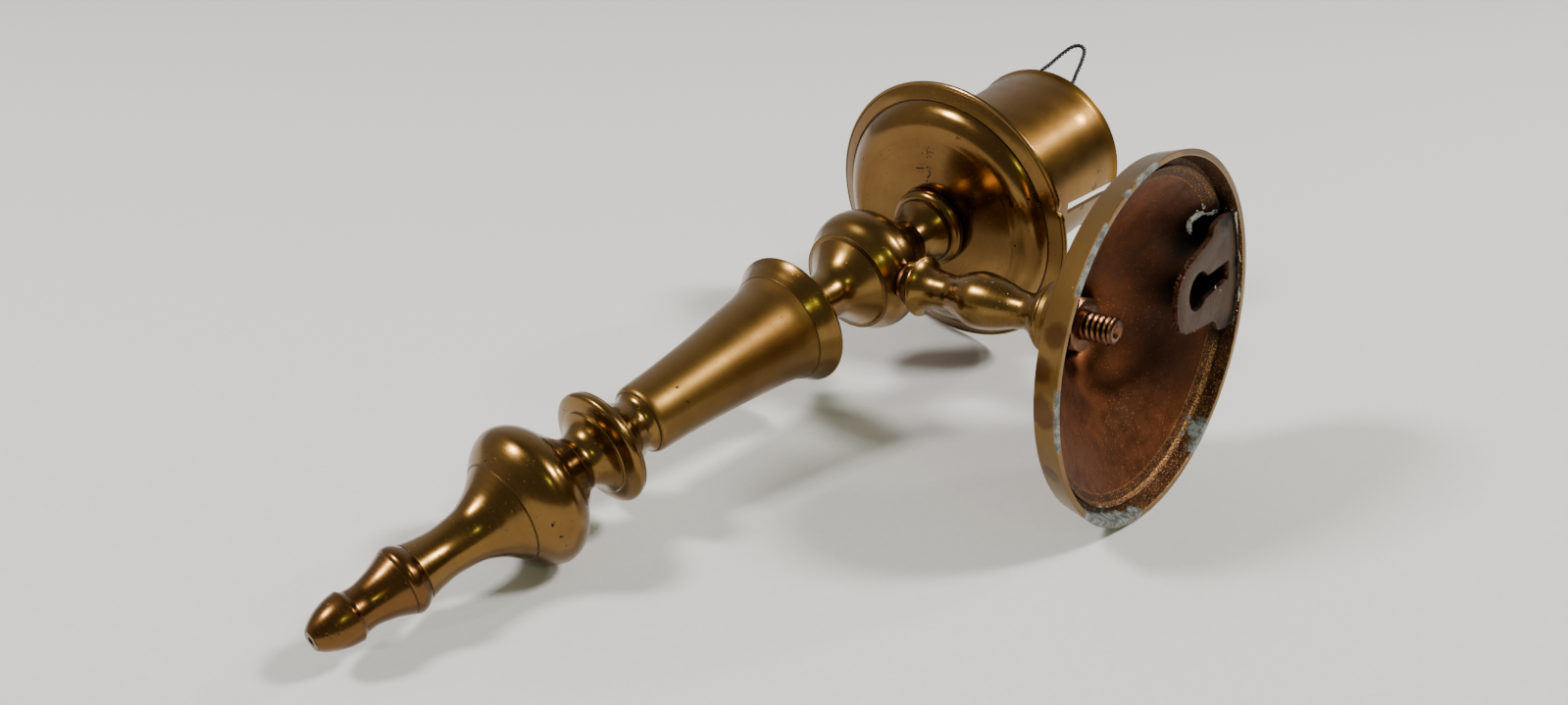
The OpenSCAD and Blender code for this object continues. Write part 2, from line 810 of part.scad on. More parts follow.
// The tip is the nut that closes the drop: a rounded nose with a small drilled end, a ridge, and
// a neck that opens to the bead above.
module tip() {
    nose = [[0, 0], [0.3, 0.06], [0.68, 0.18], [0.9, 0.3], [1, 0.44]];
    neck = [[0.05, 0.51], [0, 0.6], [0.13, 0.7], [0.43, 0.84], [0.97, 1]];
    drill_d = 1.6;
    drill_l = 4;
    color("goldenrod")
        on_stem(tip_base)
            difference() {
                turned(
                    concat(
                        turned_line(nose, tip_end_d / 2, tip_d / 2, tip_l),
                        turned_line(neck, tip_neck_d / 2, tip_bead_d / 2 - 0.35, tip_l)
                    ),
                    0
                );
                translate([0, 0, tip_l - tie_in_tip - over])
                    cylinder(h = tie_in_tip + 2 * over, r = tie_bore_r);
                translate([0, 0, -over])
                    cylinder(h = drill_l + over, d = drill_d);
            }
}

// The rod inside the drop, from the ball to the tip
module tie_rod() {
    color("peru")
        on_stem(tie_base)
            cylinder(h = tie_top - tie_base, d = tie_d);
}

wall_plate();
hanger_plate();
hanger_solder();
plate_nut();
arm_rod();
arm_ring();
arm();
arm_disc();
ball();
round_bead();
drip_pan();
candle_cup();
cup_screw();
cup_washer();
wire_foot();
candle_wire();
funnel();
cone_lip();
cone();
collar();
vase_bulb();
vase_foot();
tip_bead();
tip();
tie_rod();
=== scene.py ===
# A turned brass wall sconce for one candle, taken off its wall and laid on a pale cloth.
# The wall is the plane y = 0, the arm runs along -Y and the stem stands along Z.
# Outlines are (radius, height) points in millimetres. Everything else is in metres.
import bmesh
import bpy
import math
import random
from mathutils import Matrix, Vector, noise
from mathutils.geometry import interpolate_bezier


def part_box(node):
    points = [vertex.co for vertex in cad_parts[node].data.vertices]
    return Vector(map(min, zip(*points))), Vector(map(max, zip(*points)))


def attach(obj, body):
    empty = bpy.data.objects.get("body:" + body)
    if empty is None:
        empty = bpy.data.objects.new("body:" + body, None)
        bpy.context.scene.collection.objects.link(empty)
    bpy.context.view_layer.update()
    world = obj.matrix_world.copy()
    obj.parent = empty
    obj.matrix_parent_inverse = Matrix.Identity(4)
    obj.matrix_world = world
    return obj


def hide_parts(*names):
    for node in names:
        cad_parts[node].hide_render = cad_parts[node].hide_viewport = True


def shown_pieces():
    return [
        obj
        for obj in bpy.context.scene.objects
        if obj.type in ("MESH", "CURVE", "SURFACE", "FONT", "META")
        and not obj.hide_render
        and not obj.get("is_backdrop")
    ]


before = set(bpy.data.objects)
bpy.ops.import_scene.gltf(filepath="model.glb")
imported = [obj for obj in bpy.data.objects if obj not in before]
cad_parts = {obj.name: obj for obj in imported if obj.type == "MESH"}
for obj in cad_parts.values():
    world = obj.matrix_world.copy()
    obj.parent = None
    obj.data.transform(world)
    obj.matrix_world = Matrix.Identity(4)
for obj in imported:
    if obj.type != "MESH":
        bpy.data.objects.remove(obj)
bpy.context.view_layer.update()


# Camera: a phone held low over the cloth, on the wall side of the plate, so that it looks into
# the hollow and along the stem.
PHOTO_W = 1599
FOCAL_PX = 1244.6
SENSOR = 36

camera_data = bpy.data.cameras.new("camera")
camera_data.sensor_width = SENSOR
camera_data.lens = SENSOR * FOCAL_PX / PHOTO_W
camera_data.clip_start = 0.01
camera = bpy.data.objects.new("camera", camera_data)
bpy.context.scene.collection.objects.link(camera)
look_right = Vector((-0.1643, 0.7277, 0.6660))
look_down = Vector((-0.8577, 0.2281, -0.4608))
look_ahead = Vector((-0.4872, -0.6469, 0.5866))
camera.matrix_world = Matrix((look_right, -look_down, -look_ahead)).transposed().to_4x4()
camera.matrix_world.translation = Vector((0.1276, 0.10196, -0.19107))
bpy.context.scene.camera = camera


# Wall plate: one brass casting, turned on its face and rim and left rough and brown inside. It
# has a flat land against the wall, a hollow with a ledge and a ridge, and a well for the nut.
MM = 0.001
WALL = Vector((0, 0, 0))
OUT = Vector((0, -1, 0))
LAND_R = 36.8
STEP = 0.6
FINE_STEP = 0.1
FINE_NEAR = 0.45
DARK_W = 0.13
WORN_W = 0.12


def fine_line(run, dark=()):
    """A smooth line through a run of points, in short steps, and shorter ones beside dark rings."""
    points = [Vector(p) for p in run]
    last = len(points) - 1
    finer = round(STEP / FINE_STEP)

    def slope(i):
        before, here, after = points[max(i - 1, 0)], points[i], points[min(i + 1, last)]
        return (after - before) / ((after - here).length + (here - before).length)

    line = []
    for i in range(last):
        a, b = points[i], points[i + 1]
        handle = (b - a).length / 3
        steps = max(1, math.ceil((b - a).length / STEP)) * finer
        bend = interpolate_bezier(a, a + slope(i) * handle, b - slope(i + 1) * handle, b, steps + 1)
        for k, p in enumerate(bend[:-1]):
            here = Vector(p[:2])
            if k % finer == 0 or any((here - Vector(ring)).length < FINE_NEAR for ring in dark):
                line.append(here)
    return line + [points[last]]


def joined_runs(runs, dark=(), closed=True):
    """The points of an outline that is given in runs, and which of them are corners."""
    places, corners = [], set()
    for run in runs:
        line = fine_line(run, dark)
        if places and (line[0] - places[-1]).length < 1e-4:
            line = line[1:]
        else:
            corners.add(len(places))
        places += line
        corners.add(len(places) - 1)
    if closed and (places[-1] - places[0]).length < 1e-4:
        corners.discard(len(places) - 1)
        places.pop()
    return places, corners


def turned(runs, seat=WALL, along=OUT, dark=(), worn=(), sides=168, edge=0.1, closed=True):
    """A lathe-turned solid as a bmesh: runs of an outline, turned about the axis through seat. Corners between runs
    are rounded by edge. Dark rings mark old polish and painted shade in the seams and grooves, and worn rings are
    bright."""
    across = Vector((1, 0, 0))
    bm = bmesh.new()
    polish_and_shade = bm.verts.layers.float.new("polish_and_shade")
    rubbed = bm.verts.layers.float.new("worn")
    places, corners = joined_runs(runs, (*dark, *worn), closed)
    verts = [bm.verts.new(seat + across * p.x * MM + along * p.y * MM) for p in places]
    pairs = list(zip(verts, verts[1:])) + ([(verts[-1], verts[0])] if closed else [])
    for a, b in pairs:
        bm.edges.new((a, b))
    rounded = [verts[i] for i in sorted(corners) if len(verts[i].link_edges) == 2]
    bmesh.ops.bevel(
        bm, geom=rounded, offset=edge * MM, offset_type="OFFSET", segments=3, profile=0.5,
        affect="VERTICES", clamp_overlap=True, material=-1
    )
    for v in bm.verts:
        rise = (v.co - seat).dot(along)
        radius = (v.co - seat - along * rise).length
        place = Vector((radius, rise)) / MM
        for layer, rings, width in ((polish_and_shade, dark, DARK_W), (rubbed, worn, WORN_W)):
            near = min(((place - Vector(ring)).length for ring in rings), default=9)
            v[layer] = math.exp(-((near / width) ** 2))
    bmesh.ops.spin(
        bm, geom=bm.verts[:] + bm.edges[:], cent=seat, axis=along, angle=2 * math.pi,
        steps=sides, use_merge=True
    )
    bmesh.ops.remove_doubles(bm, verts=bm.verts, dist=1e-6)
    bmesh.ops.recalc_face_normals(bm, faces=bm.faces)
    return bm


def made(bm, name, materials, body, node=None, sharp=38):
    """The finished piece: a mesh object with its materials, riding on a body."""
    mesh = bpy.data.meshes.new(name)
    bm.to_mesh(mesh)
    bm.free()
    mesh.shade_smooth()
    mesh.set_sharp_from_angle(angle=math.radians(sharp))
    for material in materials:
        mesh.materials.append(material)
    piece = bpy.data.objects.new(name, mesh)
    bpy.context.scene.collection.objects.link(piece)
    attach(piece, body)
    if node:
        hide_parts(node)
    return piece


def add(tree, kind, sockets=None, **settings):
    """A shader node with its settings made and its sockets linked or set."""
    new = tree.nodes.new("ShaderNode" + kind)
    for name, value in settings.items():
        setattr(new, name, value)
    for key, value in (sockets or {}).items():
        if isinstance(value, bpy.types.NodeSocket):
            tree.links.new(value, new.inputs[key])
        else:
            new.inputs[key].default_value = value
    return new


def maths(tree, operation, a, b=0.0):
    return add(tree, "Math", {0: a, 1: b}, operation=operation).outputs[0]


def spread(tree, value, low, high, to_low=0.0, to_high=1.0):
    """The value from low to high drawn out to another range, and held at its ends."""
    sockets = {"Value": value, "From Min": low, "From Max": high, "To Min": to_low, "To Max": to_high}
    return add(tree, "MapRange", sockets).outputs[0]


def mixed(tree, share, a, b):
    """Colour a turning to colour b as share goes from 0 to 1."""
    return add(tree, "Mix", {0: share, 6: a, 7: b}, data_type="RGBA").outputs[2]


def cloudy(tree, place, scale, detail=4.0, rough=0.55):
    sockets = {"Vector": place, "Scale": scale, "Detail": detail, "Roughness": rough}
    return add(tree, "TexNoise", sockets).outputs[0]


def fresh_material(name):
    material = bpy.data.materials.new(name)
    material.use_nodes = True
    tree = material.node_tree
    shader = tree.nodes["Principled BSDF"]
    place = add(tree, "TexCoord").outputs["Object"]
    return material, tree, shader, place


def rgb(red, green, blue):
    return (red, green, blue, 1.0)


def near_spots(tree, place, spots):
    """1 at each spot (x, y, z, radius in millimetres), falling to 0 at its radius."""
    share = None
    for x, y, z, radius in spots:
        apart = add(tree, "VectorMath", {0: place, 1: Vector((x, y, z)) * MM}, operation="DISTANCE")
        one = spread(tree, apart.outputs["Value"], 0.0, radius * MM, 1.0, 0.0)
        share = one if share is None else maths(tree, "MAXIMUM", share, one)
    return share


GOLD = rgb(0.208, 0.117, 0.030)
TARNISH = rgb(0.124, 0.054, 0.014)
STAIN = rgb(0.085, 0.034, 0.009)
# Near-black of pits and old polish, also used as painted shade in the seams and grooves.
POLISH_AND_SHADE_DARK = rgb(0.020, 0.008, 0.0035)
RUBBED = rgb(0.55, 0.33, 0.12)
DUST = rgb(0.62, 0.58, 0.50)


def brass(name, seat, along, satin=0.2, tarnish=0.5, pits=0.5, coat=0.15, gold=GOLD, marks=(), stains=(),
          pins=(), dust=(), polished=()):
    """Aged lacquered brass, turned about the axis through seat: fine lathe lines, soft clouds of brown tarnish, small
    pits, dark dents at the marks, pinholes, old polish with painted shade in the dark rings, pale grains of dust and
    rubbed shiny places."""
    material, tree, shader, place = fresh_material(name)
    from_axis = add(tree, "VectorMath", {0: place, 1: seat}, operation="SUBTRACT").outputs[0]
    rise = add(tree, "VectorMath", {0: from_axis, 1: along}, operation="DOT_PRODUCT").outputs[1]
    up = add(tree, "VectorMath", {0: along, "Scale": rise}, operation="SCALE").outputs[0]
    side = add(tree, "VectorMath", {0: from_axis, 1: up}, operation="SUBTRACT").outputs[0]
    radius = add(tree, "VectorMath", {0: side}, operation="LENGTH").outputs[1]
    ring = add(tree, "CombineXYZ", {0: radius, 1: rise}).outputs[0]
    lines = cloudy(tree, ring, 2600.0, 3.0, 0.7)
    bands = cloudy(tree, ring, 260.0, 3.0, 0.6)
    clouds = cloudy(tree, place, 36.0, 7.0, 0.55)
    smears = cloudy(tree, place, 150.0, 5.0, 0.6)
    specks = cloudy(tree, place, 1100.0, 2.0, 0.5)
    old = add(tree, "Attribute", attribute_name="polish_and_shade").outputs["Fac"]

    browned = maths(tree, "MULTIPLY", spread(tree, clouds, 0.34, 0.72), tarnish)
    browned = maths(tree, "ADD", browned, spread(tree, bands, 0.4, 0.8, 0.0, 0.2))
    browned = maths(tree, "ADD", browned, spread(tree, smears, 0.45, 0.75, 0.0, 0.2))
    colour = mixed(tree, browned, gold, TARNISH)
    pitted = maths(tree, "MULTIPLY", spread(tree, specks, 0.69, 0.75), spread(tree, smears, 0.5, 0.62))
    pitted = maths(tree, "MULTIPLY", pitted, pits)
    if marks:
        cluster = maths(tree, "MULTIPLY", near_spots(tree, place, marks), 0.24)
        scratched = cloudy(tree, place, 1900.0, 3.0, 0.6)
        deep = spread(tree, maths(tree, "ADD", scratched, cluster), 0.68, 0.73)
        pitted = maths(tree, "MAXIMUM", pitted, deep)
    if pins:
        hole = spread(tree, near_spots(tree, place, pins), 0.15, 0.45)
        pitted = maths(tree, "MAXIMUM", pitted, hole)
    if stains:
        ragged = maths(tree, "ADD", near_spots(tree, place, stains), smears)
        colour = mixed(tree, spread(tree, ragged, 0.74, 1.0, 0.0, 0.75), colour, STAIN)
    colour = mixed(tree, pitted, colour, POLISH_AND_SHADE_DARK)
    # The dark rings: old polish and painted shade in the seams and grooves.
    colour = mixed(tree, maths(tree, "MULTIPLY", old, 0.75), colour, POLISH_AND_SHADE_DARK)
    rubbed = add(tree, "Attribute", attribute_name="worn").outputs["Fac"]
    colour = mixed(tree, maths(tree, "MULTIPLY", rubbed, 0.7), colour, RUBBED)
    rough = spread(tree, smears, 0.35, 0.7, satin, satin + 0.07)
    if dust:
        grains = spread(tree, cloudy(tree, place, 1500.0, 1.0, 0.4), 0.74, 0.77)
        grains = maths(tree, "MULTIPLY", grains, spread(tree, near_spots(tree, place, dust), 0.0, 0.5))
        colour = mixed(tree, grains, colour, DUST)
        rough = maths(tree, "ADD", rough, maths(tree, "MULTIPLY", grains, 0.4))
    tree.links.new(colour, shader.inputs["Base Color"])

    rough = maths(tree, "ADD", rough, maths(tree, "MULTIPLY", pitted, 0.4))
    rough = maths(tree, "ADD", rough, maths(tree, "MULTIPLY", old, 0.35))
    rough = maths(tree, "ADD", rough, spread(tree, lines, 0.4, 0.7, 0.0, 0.05))
    if polished:
        closest = near_spots(tree, place, polished)
        rough = maths(tree, "MULTIPLY", rough, spread(tree, closest, 0.3, 1.0, 1.0, 0.4))
    tree.links.new(rough, shader.inputs["Roughness"])
    shader.inputs["Metallic"].default_value = 1.0
    shader.inputs["Coat Weight"].default_value = coat
    shader.inputs["Coat Roughness"].default_value = 0.06

    turned_bump = add(tree, "Bump", {"Height": lines, "Strength": 0.25, "Distance": 0.00001}).outputs[0]
    wavy = add(
        tree, "Bump", {"Height": smears, "Strength": 0.15, "Distance": 0.00015, "Normal": turned_bump}
    ).outputs[0]
    pit_bump = add(
        tree, "Bump",
        {"Height": pitted, "Strength": 0.6, "Distance": 0.00012, "Normal": wavy}, invert=True
    ).outputs[0]
    tree.links.new(pit_bump, shader.inputs["Normal"])
    return material


RIM_INSIDE_R = 32.2
# Black round the solder: charred flux, and painted shade in the pocket under the hanger.
FLUX_AND_SHADE_SPOTS = [
    (13, -5.5, 27, 7), (16, -3.5, 31, 6), (9, -7, 26, 7), (-14, -3, 31.5, 5), (-3, -8, 25, 7), (-2, -5, 30.5, 6)
]
# Painted shade: soft dark spots over the top and upper left of the hollow.
HOLLOW_TOP_SHADE = [(4, -8, 34, 34), (-14, -12, 22, 20)]


def cast_brown(name):
    """The casting's rough inside: red-brown lacquer over sand-cast brass, with fine coppery grains towards the rim,
    partly painted as glints, and small painted glints lower down. It is rubbed bright on its ridges, darkened by
    painted shade over the top of the hollow, and black round the solder with charred flux and painted shade."""
    material, tree, shader, place = fresh_material(name)
    grains = cloudy(tree, place, 2900.0, 2.0, 0.6)
    lumps = cloudy(tree, place, 330.0, 4.0, 0.6)
    clouds = cloudy(tree, place, 60.0, 5.0, 0.6)
    old = add(tree, "Attribute", attribute_name="polish_and_shade").outputs["Fac"]
    level = add(tree, "VectorMath", {0: place, 1: (1, 0, 1)}, operation="MULTIPLY").outputs[0]
    radius = add(tree, "VectorMath", {0: level}, operation="LENGTH").outputs["Value"]
    at_rim = spread(tree, radius, RIM_INSIDE_R * MM, (RIM_INSIDE_R + 0.5) * MM)
    smooth = mixed(tree, spread(tree, clouds, 0.35, 0.68), rgb(0.085, 0.030, 0.013), rgb(0.215, 0.066, 0.022))
    # Painted glints: small bright coppery specks over the smooth inside.
    painted_glints = cloudy(tree, place, 2600.0, 1.0, 0.5)
    smooth = mixed(tree, spread(tree, painted_glints, 0.66, 0.73, 0.0, 0.7), smooth, rgb(0.45, 0.22, 0.08))
    # Painted shade darkens the top and upper left of the hollow.
    top_shade = spread(tree, near_spots(tree, place, HOLLOW_TOP_SHADE), 0.05, 0.7, 0.0, 0.8)
    smooth = mixed(tree, top_shade, smooth, rgb(0.020, 0.009, 0.006))
    coarse = mixed(tree, spread(tree, lumps, 0.35, 0.65), rgb(0.042, 0.016, 0.007), rgb(0.092, 0.038, 0.015))
    # Coppery grains of the casting towards the rim, painted bright partly as glints.
    coarse = mixed(tree, spread(tree, grains, 0.56, 0.68, 0.0, 0.8), coarse, rgb(0.42, 0.23, 0.11))
    colour = mixed(tree, at_rim, smooth, coarse)
    rubbed = add(tree, "Attribute", attribute_name="worn").outputs["Fac"]
    rubbed = maths(tree, "MULTIPLY", rubbed, spread(tree, grains, 0.42, 0.60))
    colour = mixed(tree, maths(tree, "MULTIPLY", rubbed, 0.8), colour, rgb(0.44, 0.24, 0.09))
    # Charred flux and painted shade make it black round the solder.
    flux_and_shade = spread(tree, near_spots(tree, place, FLUX_AND_SHADE_SPOTS), 0.1, 0.75, 0.0, 0.93)
    colour = mixed(tree, flux_and_shade, colour, rgb(0.008, 0.005, 0.004))
    # The dark rings: old polish and painted shade in the well's corner and the groove.
    colour = mixed(tree, maths(tree, "MULTIPLY", old, 0.6), colour, rgb(0.020, 0.009, 0.006))
    tree.links.new(colour, shader.inputs["Base Color"])
    shader.inputs["Metallic"].default_value = 0.9
    shader.inputs["Specular IOR Level"].default_value = 0.3
    tree.links.new(spread(tree, lumps, 0.3, 0.7, 0.36, 0.56), shader.inputs["Roughness"])
    bumps = add(tree, "Bump", {"Height": lumps, "Strength": 0.5, "Distance": 0.0002}).outputs[0]
    depth = spread(tree, at_rim, 0.0, 1.0, 0.25, 1.0)
    fine = add(tree, "Bump", {"Height": grains, "Strength": depth, "Distance": 0.00015, "Normal": bumps})
    tree.links.new(fine.outputs[0], shader.inputs["Normal"])
    return material


DAMP = [
    (-23.5, -0.3, -28.7, 4.5), (-26.5, -0.6, -25.8, 6), (-29.2, -0.6, -22.3, 6), (-31.6, -0.6, -18.6, 6),
    (-33.5, -0.4, -14.8, 5.5), (-35.3, -0.2, -10.5, 4.5), (-32, -0.8, 18.5, 5), (-34.3, 0, 15, 4),
    (-31.3, -2.6, 14.6, 1.6), (-29, -3, 17.5, 1.2)
]
FROST = [
    (29.9, 0, -23.1, 4.5), (26.3, 0, -26.9, 4), (32.3, 0, -19.2, 3), (36, 0, -10.5, 1.6), (37.2, 0, -5.1, 3.4),
    (37.3, 0, -1, 3), (6.5, 0, -37.2, 5), (0, 0, -37.8, 4)
]


def bloomed(material):
    """Lays a ragged chalky bloom over a finished material where damp has sat on the rim, and a
    thin pale frost along its flat land."""
    tree = material.node_tree
    shader = tree.nodes["Principled BSDF"]
    place = add(tree, "TexCoord").outputs["Object"]
    ragged = cloudy(tree, place, 650.0, 6.0, 0.75)
    grains = cloudy(tree, place, 2200.0, 3.0, 0.7)
    wrinkles = cloudy(tree, place, 420.0, 3.0, 0.8)
    behind = add(tree, "SeparateXYZ", {0: place}).outputs["Y"]
    at_land = spread(tree, behind, -0.9 * MM, -0.2 * MM)
    share = spread(tree, maths(tree, "ADD", near_spots(tree, place, DAMP), ragged), 0.94, 1.06, 0.0, 0.9)
    frost = spread(tree, maths(tree, "ADD", near_spots(tree, place, FROST), ragged), 0.74, 0.92, 0.0, 0.9)
    share = maths(tree, "MAXIMUM", share, maths(tree, "MULTIPLY", frost, at_land))
    chalk = mixed(tree, spread(tree, wrinkles, 0.44, 0.58), rgb(0.075, 0.094, 0.088), rgb(0.25, 0.28, 0.275))
    chalk = mixed(tree, spread(tree, grains, 0.36, 0.44), rgb(0.050, 0.062, 0.056), chalk)
    old_colour = shader.inputs["Base Color"].links[0].from_socket
    tree.links.new(mixed(tree, share, old_colour, chalk), shader.inputs["Base Color"])
    old_rough = shader.inputs["Roughness"].links[0].from_socket
    rough = maths(tree, "ADD", old_rough, maths(tree, "MULTIPLY", share, 0.5))
    tree.links.new(rough, shader.inputs["Roughness"])
    metal = shader.inputs["Metallic"].default_value
    tree.links.new(spread(tree, share, 0.0, 1.0, metal, 0.0), shader.inputs["Metallic"])


plate_brass = brass(
    "plate_brass", WALL, OUT, satin=0.28, tarnish=0.5, pits=0.4, gold=rgb(0.250, 0.142, 0.038),
    stains=[(18, -2.5, -33, 4), (12, -4.5, -35, 4), (4.5, -3.3, -37, 5), (-10, -3, -36, 3), (34, 0, 15, 10),
            (28, 0, 25, 12), (20, 0, 32, 11), (10, 0, 36, 11), (0, 0, 37.5, 11), (-10, 0, 36, 9)]
)
plate_inside = cast_brown("plate_inside")
bloomed(plate_brass)
bloomed(plate_inside)

plate_runs = [
    [(36.95, 0), (38.1, 0)],
    [(38.1, 0), (36.8, 5.5)],
    [(36.8, 5.5), (35.5, 5.5)],
    [(35.5, 5.5), (33.3, 6.8), (30.1, 8.6), (26.1, 10.8), (20.1, 14.2), (15.2, 16.9), (11.1, 19.1),
     (8.9, 21.0), (8.3, 22.5)],
    [(8.3, 22.5), (8.3, 23.6)],
    [(7.9, 24.0), (3.25, 24.0)],
    [(3.25, 22.1), (7.4, 22.1)],
    [(7.4, 20.3), (7.9, 18.8), (10.0, 16.9), (14.0, 14.7), (18.8, 12.0), (24.6, 8.6), (28.6, 6.4),
     (31.8, 4.6), (33.9, 3.3)],
    [(34.6, 2.5), (34.6, 3.3)],
    [(35.9, 3.3), (36.68, 0.35), (36.8, 0.08), (36.95, 0)],
]
plate = turned(
    plate_runs, dark=[(34.6, 3.3), (7.4, 22.1), (8.3, 23.9)],
    worn=[(33.9, 3.3), (32.3, 4.28), (36.8, 0.05)], sides=224
)
for face in plate.faces:
    middle = face.calc_center_median()
    radius = math.hypot(middle.x, middle.z)
    inward = Vector((middle.x, 0, middle.z)).dot(face.normal) < -0.3 * radius
    if (face.normal.y > 0.02 or inward) and radius < LAND_R * MM:
        face.material_index = 1
made(plate, "cast_wall_plate", [plate_brass, plate_inside], "root", "wall_plate")


# Hanger: a piece of sheet steel, sawn to a blunt tongue with a keyhole, dull and brown, with
# bright scratches on its edges. Its outline is (across, up) in millimetres.
HANGER_FACE = 1.2
HANGER_T = 1.2
HANGER_R = 36.4
HANGER_LEFT = math.radians(22.5)
HANGER_RIGHT = math.radians(-20.5)
KEY_X = 2.0
KEY_Z = 18.9
KEY_R = 4.25
SAW_WANDER = 0.07


def on_ring(radius, start, end, steps):
    """Points on a circle from one angle to another, measured from straight up."""
    angles = [start + (end - start) * i / steps for i in range(steps + 1)]
    return [(radius * math.sin(a), radius * math.cos(a)) for a in angles]


hanger_runs = [
    on_ring(HANGER_R, HANGER_LEFT, HANGER_RIGHT, 12),
    [(-12.75, 34.1), (-12.9, 32.4), (-12.3, 29.2), (-11.4, 27.2)],
    [(-11.4, 27.2), (-10.3, 26.9), (-9.1, 26.2), (-8.2, 25.1), (-7.9, 23.8)],
    [(-7.9, 23.8), (-6.9, 19.2), (-5.6, 14.2)],
    [(-5.6, 14.2), (-4.3, 11.8), (-3.1, 10.5)],
    [(-3.1, 10.5), (-0.4, 9.8), (2.7, 9.6), (5.4, 10.1), (7.6, 11.3), (9.0, 13.2), (9.7, 15.4), (10.3, 18.4),
     (11.2, 23.4)],
    [(11.2, 23.4), (11.8, 24.8), (13.0, 25.3), (13.7, 26.2), (14.0, 28.7), (13.95, 33.6)],
]
KEY_FROM = math.radians(27)
KEY_TO = math.radians(311)
keyhole_runs = [
    [(KEY_X + dx, KEY_Z + dz) for dx, dz in on_ring(KEY_R, KEY_FROM, KEY_TO, 22)],
    [(-1.3, 21.9), (-1.2, 26.6), (-1.6, 32.0)],
    [(-1.3, 32.5), (2.6, 32.6)],
    [(3.0, 32.2), (3.45, 27.5), (3.9, 22.7)],
]


def rounded_off(bm, edge, angle=40):
    """Merges a solid's doubles and flat faces, and rounds its sharp edges by edge."""
    bmesh.ops.remove_doubles(bm, verts=bm.verts, dist=2e-6)
    bmesh.ops.dissolve_limit(
        bm, angle_limit=math.radians(2), verts=bm.verts, edges=bm.edges, use_dissolve_boundaries=False
    )
    sharp = [e for e in bm.edges if len(e.link_faces) == 2 and e.calc_face_angle(0) > math.radians(angle)]
    bmesh.ops.bevel(
        bm, geom=sharp, offset=edge * MM, offset_type="OFFSET", segments=2, profile=0.5,
        affect="EDGES", clamp_overlap=True, material=-1
    )
    return bm


def dressed(node, edge, angle=40):
    """A copy of a node's solid with its sharp edges rounded by edge."""
    bm = bmesh.new()
    bm.from_mesh(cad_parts[node].data)
    bm.transform(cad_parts[node].matrix_world)
    return rounded_off(bm, edge, angle)


def sawn_sheet(outlines, face, thickness, wander):
    """A flat piece sawn out along its outlines, the first outside and the others holes."""
    bm = bmesh.new()
    for runs in outlines:
        places = joined_runs(runs)[0]
        wandered = [p + noise.noise_vector(Vector((p.x, p.y, 0)) * 1.7).to_2d() * wander for p in places]
        verts = [bm.verts.new(Vector((p.x, -face, p.y)) * MM) for p in wandered]
        for a, b in zip(verts, verts[1:] + verts[:1]):
            bm.edges.new((a, b))
    bmesh.ops.triangle_fill(bm, edges=bm.edges, use_beauty=True)
    grown = bmesh.ops.extrude_face_region(bm, geom=bm.faces)["geom"]
    moved = [v for v in grown if isinstance(v, bmesh.types.BMVert)]
    bmesh.ops.translate(bm, verts=moved, vec=(0, -thickness * MM, 0))
    bmesh.ops.recalc_face_normals(bm, faces=bm.faces)
    return bm


def rusted(tree, place, colour):
    """Rust and black flux over a steel's colour."""
    freckles = cloudy(tree, place, 900.0, 3.0, 0.6)
    colour = mixed(tree, spread(tree, freckles, 0.56, 0.68, 0.0, 0.8), colour, rgb(0.045, 0.015, 0.007))
    patch = maths(tree, "ADD", near_spots(tree, place, [(7, -1.5, 29, 4), (-11, -1.5, 29, 5)]), freckles)
    colour = mixed(tree, spread(tree, patch, 0.8, 1.1, 0.0, 0.7), colour, rgb(0.040, 0.010, 0.006))
    corners = [(13.5, -2, 31, 5), (-13, -2, 31.5, 5), (1, -2, 35.5, 3)]
    soot = maths(tree, "ADD", near_spots(tree, place, corners), freckles)
    return mixed(tree, spread(tree, soot, 0.85, 1.15), colour, rgb(0.008, 0.006, 0.005))


def old_steel(name):
    """Dull grey-brown sheet steel with short rolling streaks and grey rubbed places."""
    material, tree, shader, place = fresh_material(name)
    stretched = add(tree, "VectorMath", {0: place, 1: (0.3, 1, 1)}, operation="MULTIPLY").outputs[0]
    streaks = cloudy(tree, stretched, 1500.0, 4.0, 0.65)
    clouds = cloudy(tree, place, 170.0, 5.0, 0.6)
    rubbed = cloudy(tree, place, 420.0, 5.0, 0.7)
    colour = mixed(tree, spread(tree, clouds, 0.35, 0.65), rgb(0.046, 0.024, 0.013), rgb(0.083, 0.045, 0.025))
    colour = mixed(tree, spread(tree, streaks, 0.56, 0.66, 0.0, 0.6), colour, rgb(0.026, 0.015, 0.010))
    blued = maths(tree, "ADD", near_spots(tree, place, [(9, -1.5, 30.5, 5)]), clouds)
    colour = mixed(tree, spread(tree, blued, 0.8, 1.2, 0.0, 0.6), colour, rgb(0.060, 0.062, 0.060))
    colour = mixed(tree, spread(tree, rubbed, 0.66, 0.74, 0.0, 0.6), colour, rgb(0.20, 0.18, 0.16))
    tree.links.new(rusted(tree, place, colour), shader.inputs["Base Color"])
    shader.inputs["Metallic"].default_value = 0.6
    shader.inputs["Specular IOR Level"].default_value = 0.3
    tree.links.new(spread(tree, clouds, 0.3, 0.7, 0.42, 0.6), shader.inputs["Roughness"])
    bump = add(tree, "Bump", {"Height": streaks, "Strength": 0.8, "Distance": 0.00012}).outputs[0]
    tree.links.new(bump, shader.inputs["Normal"])
    return material


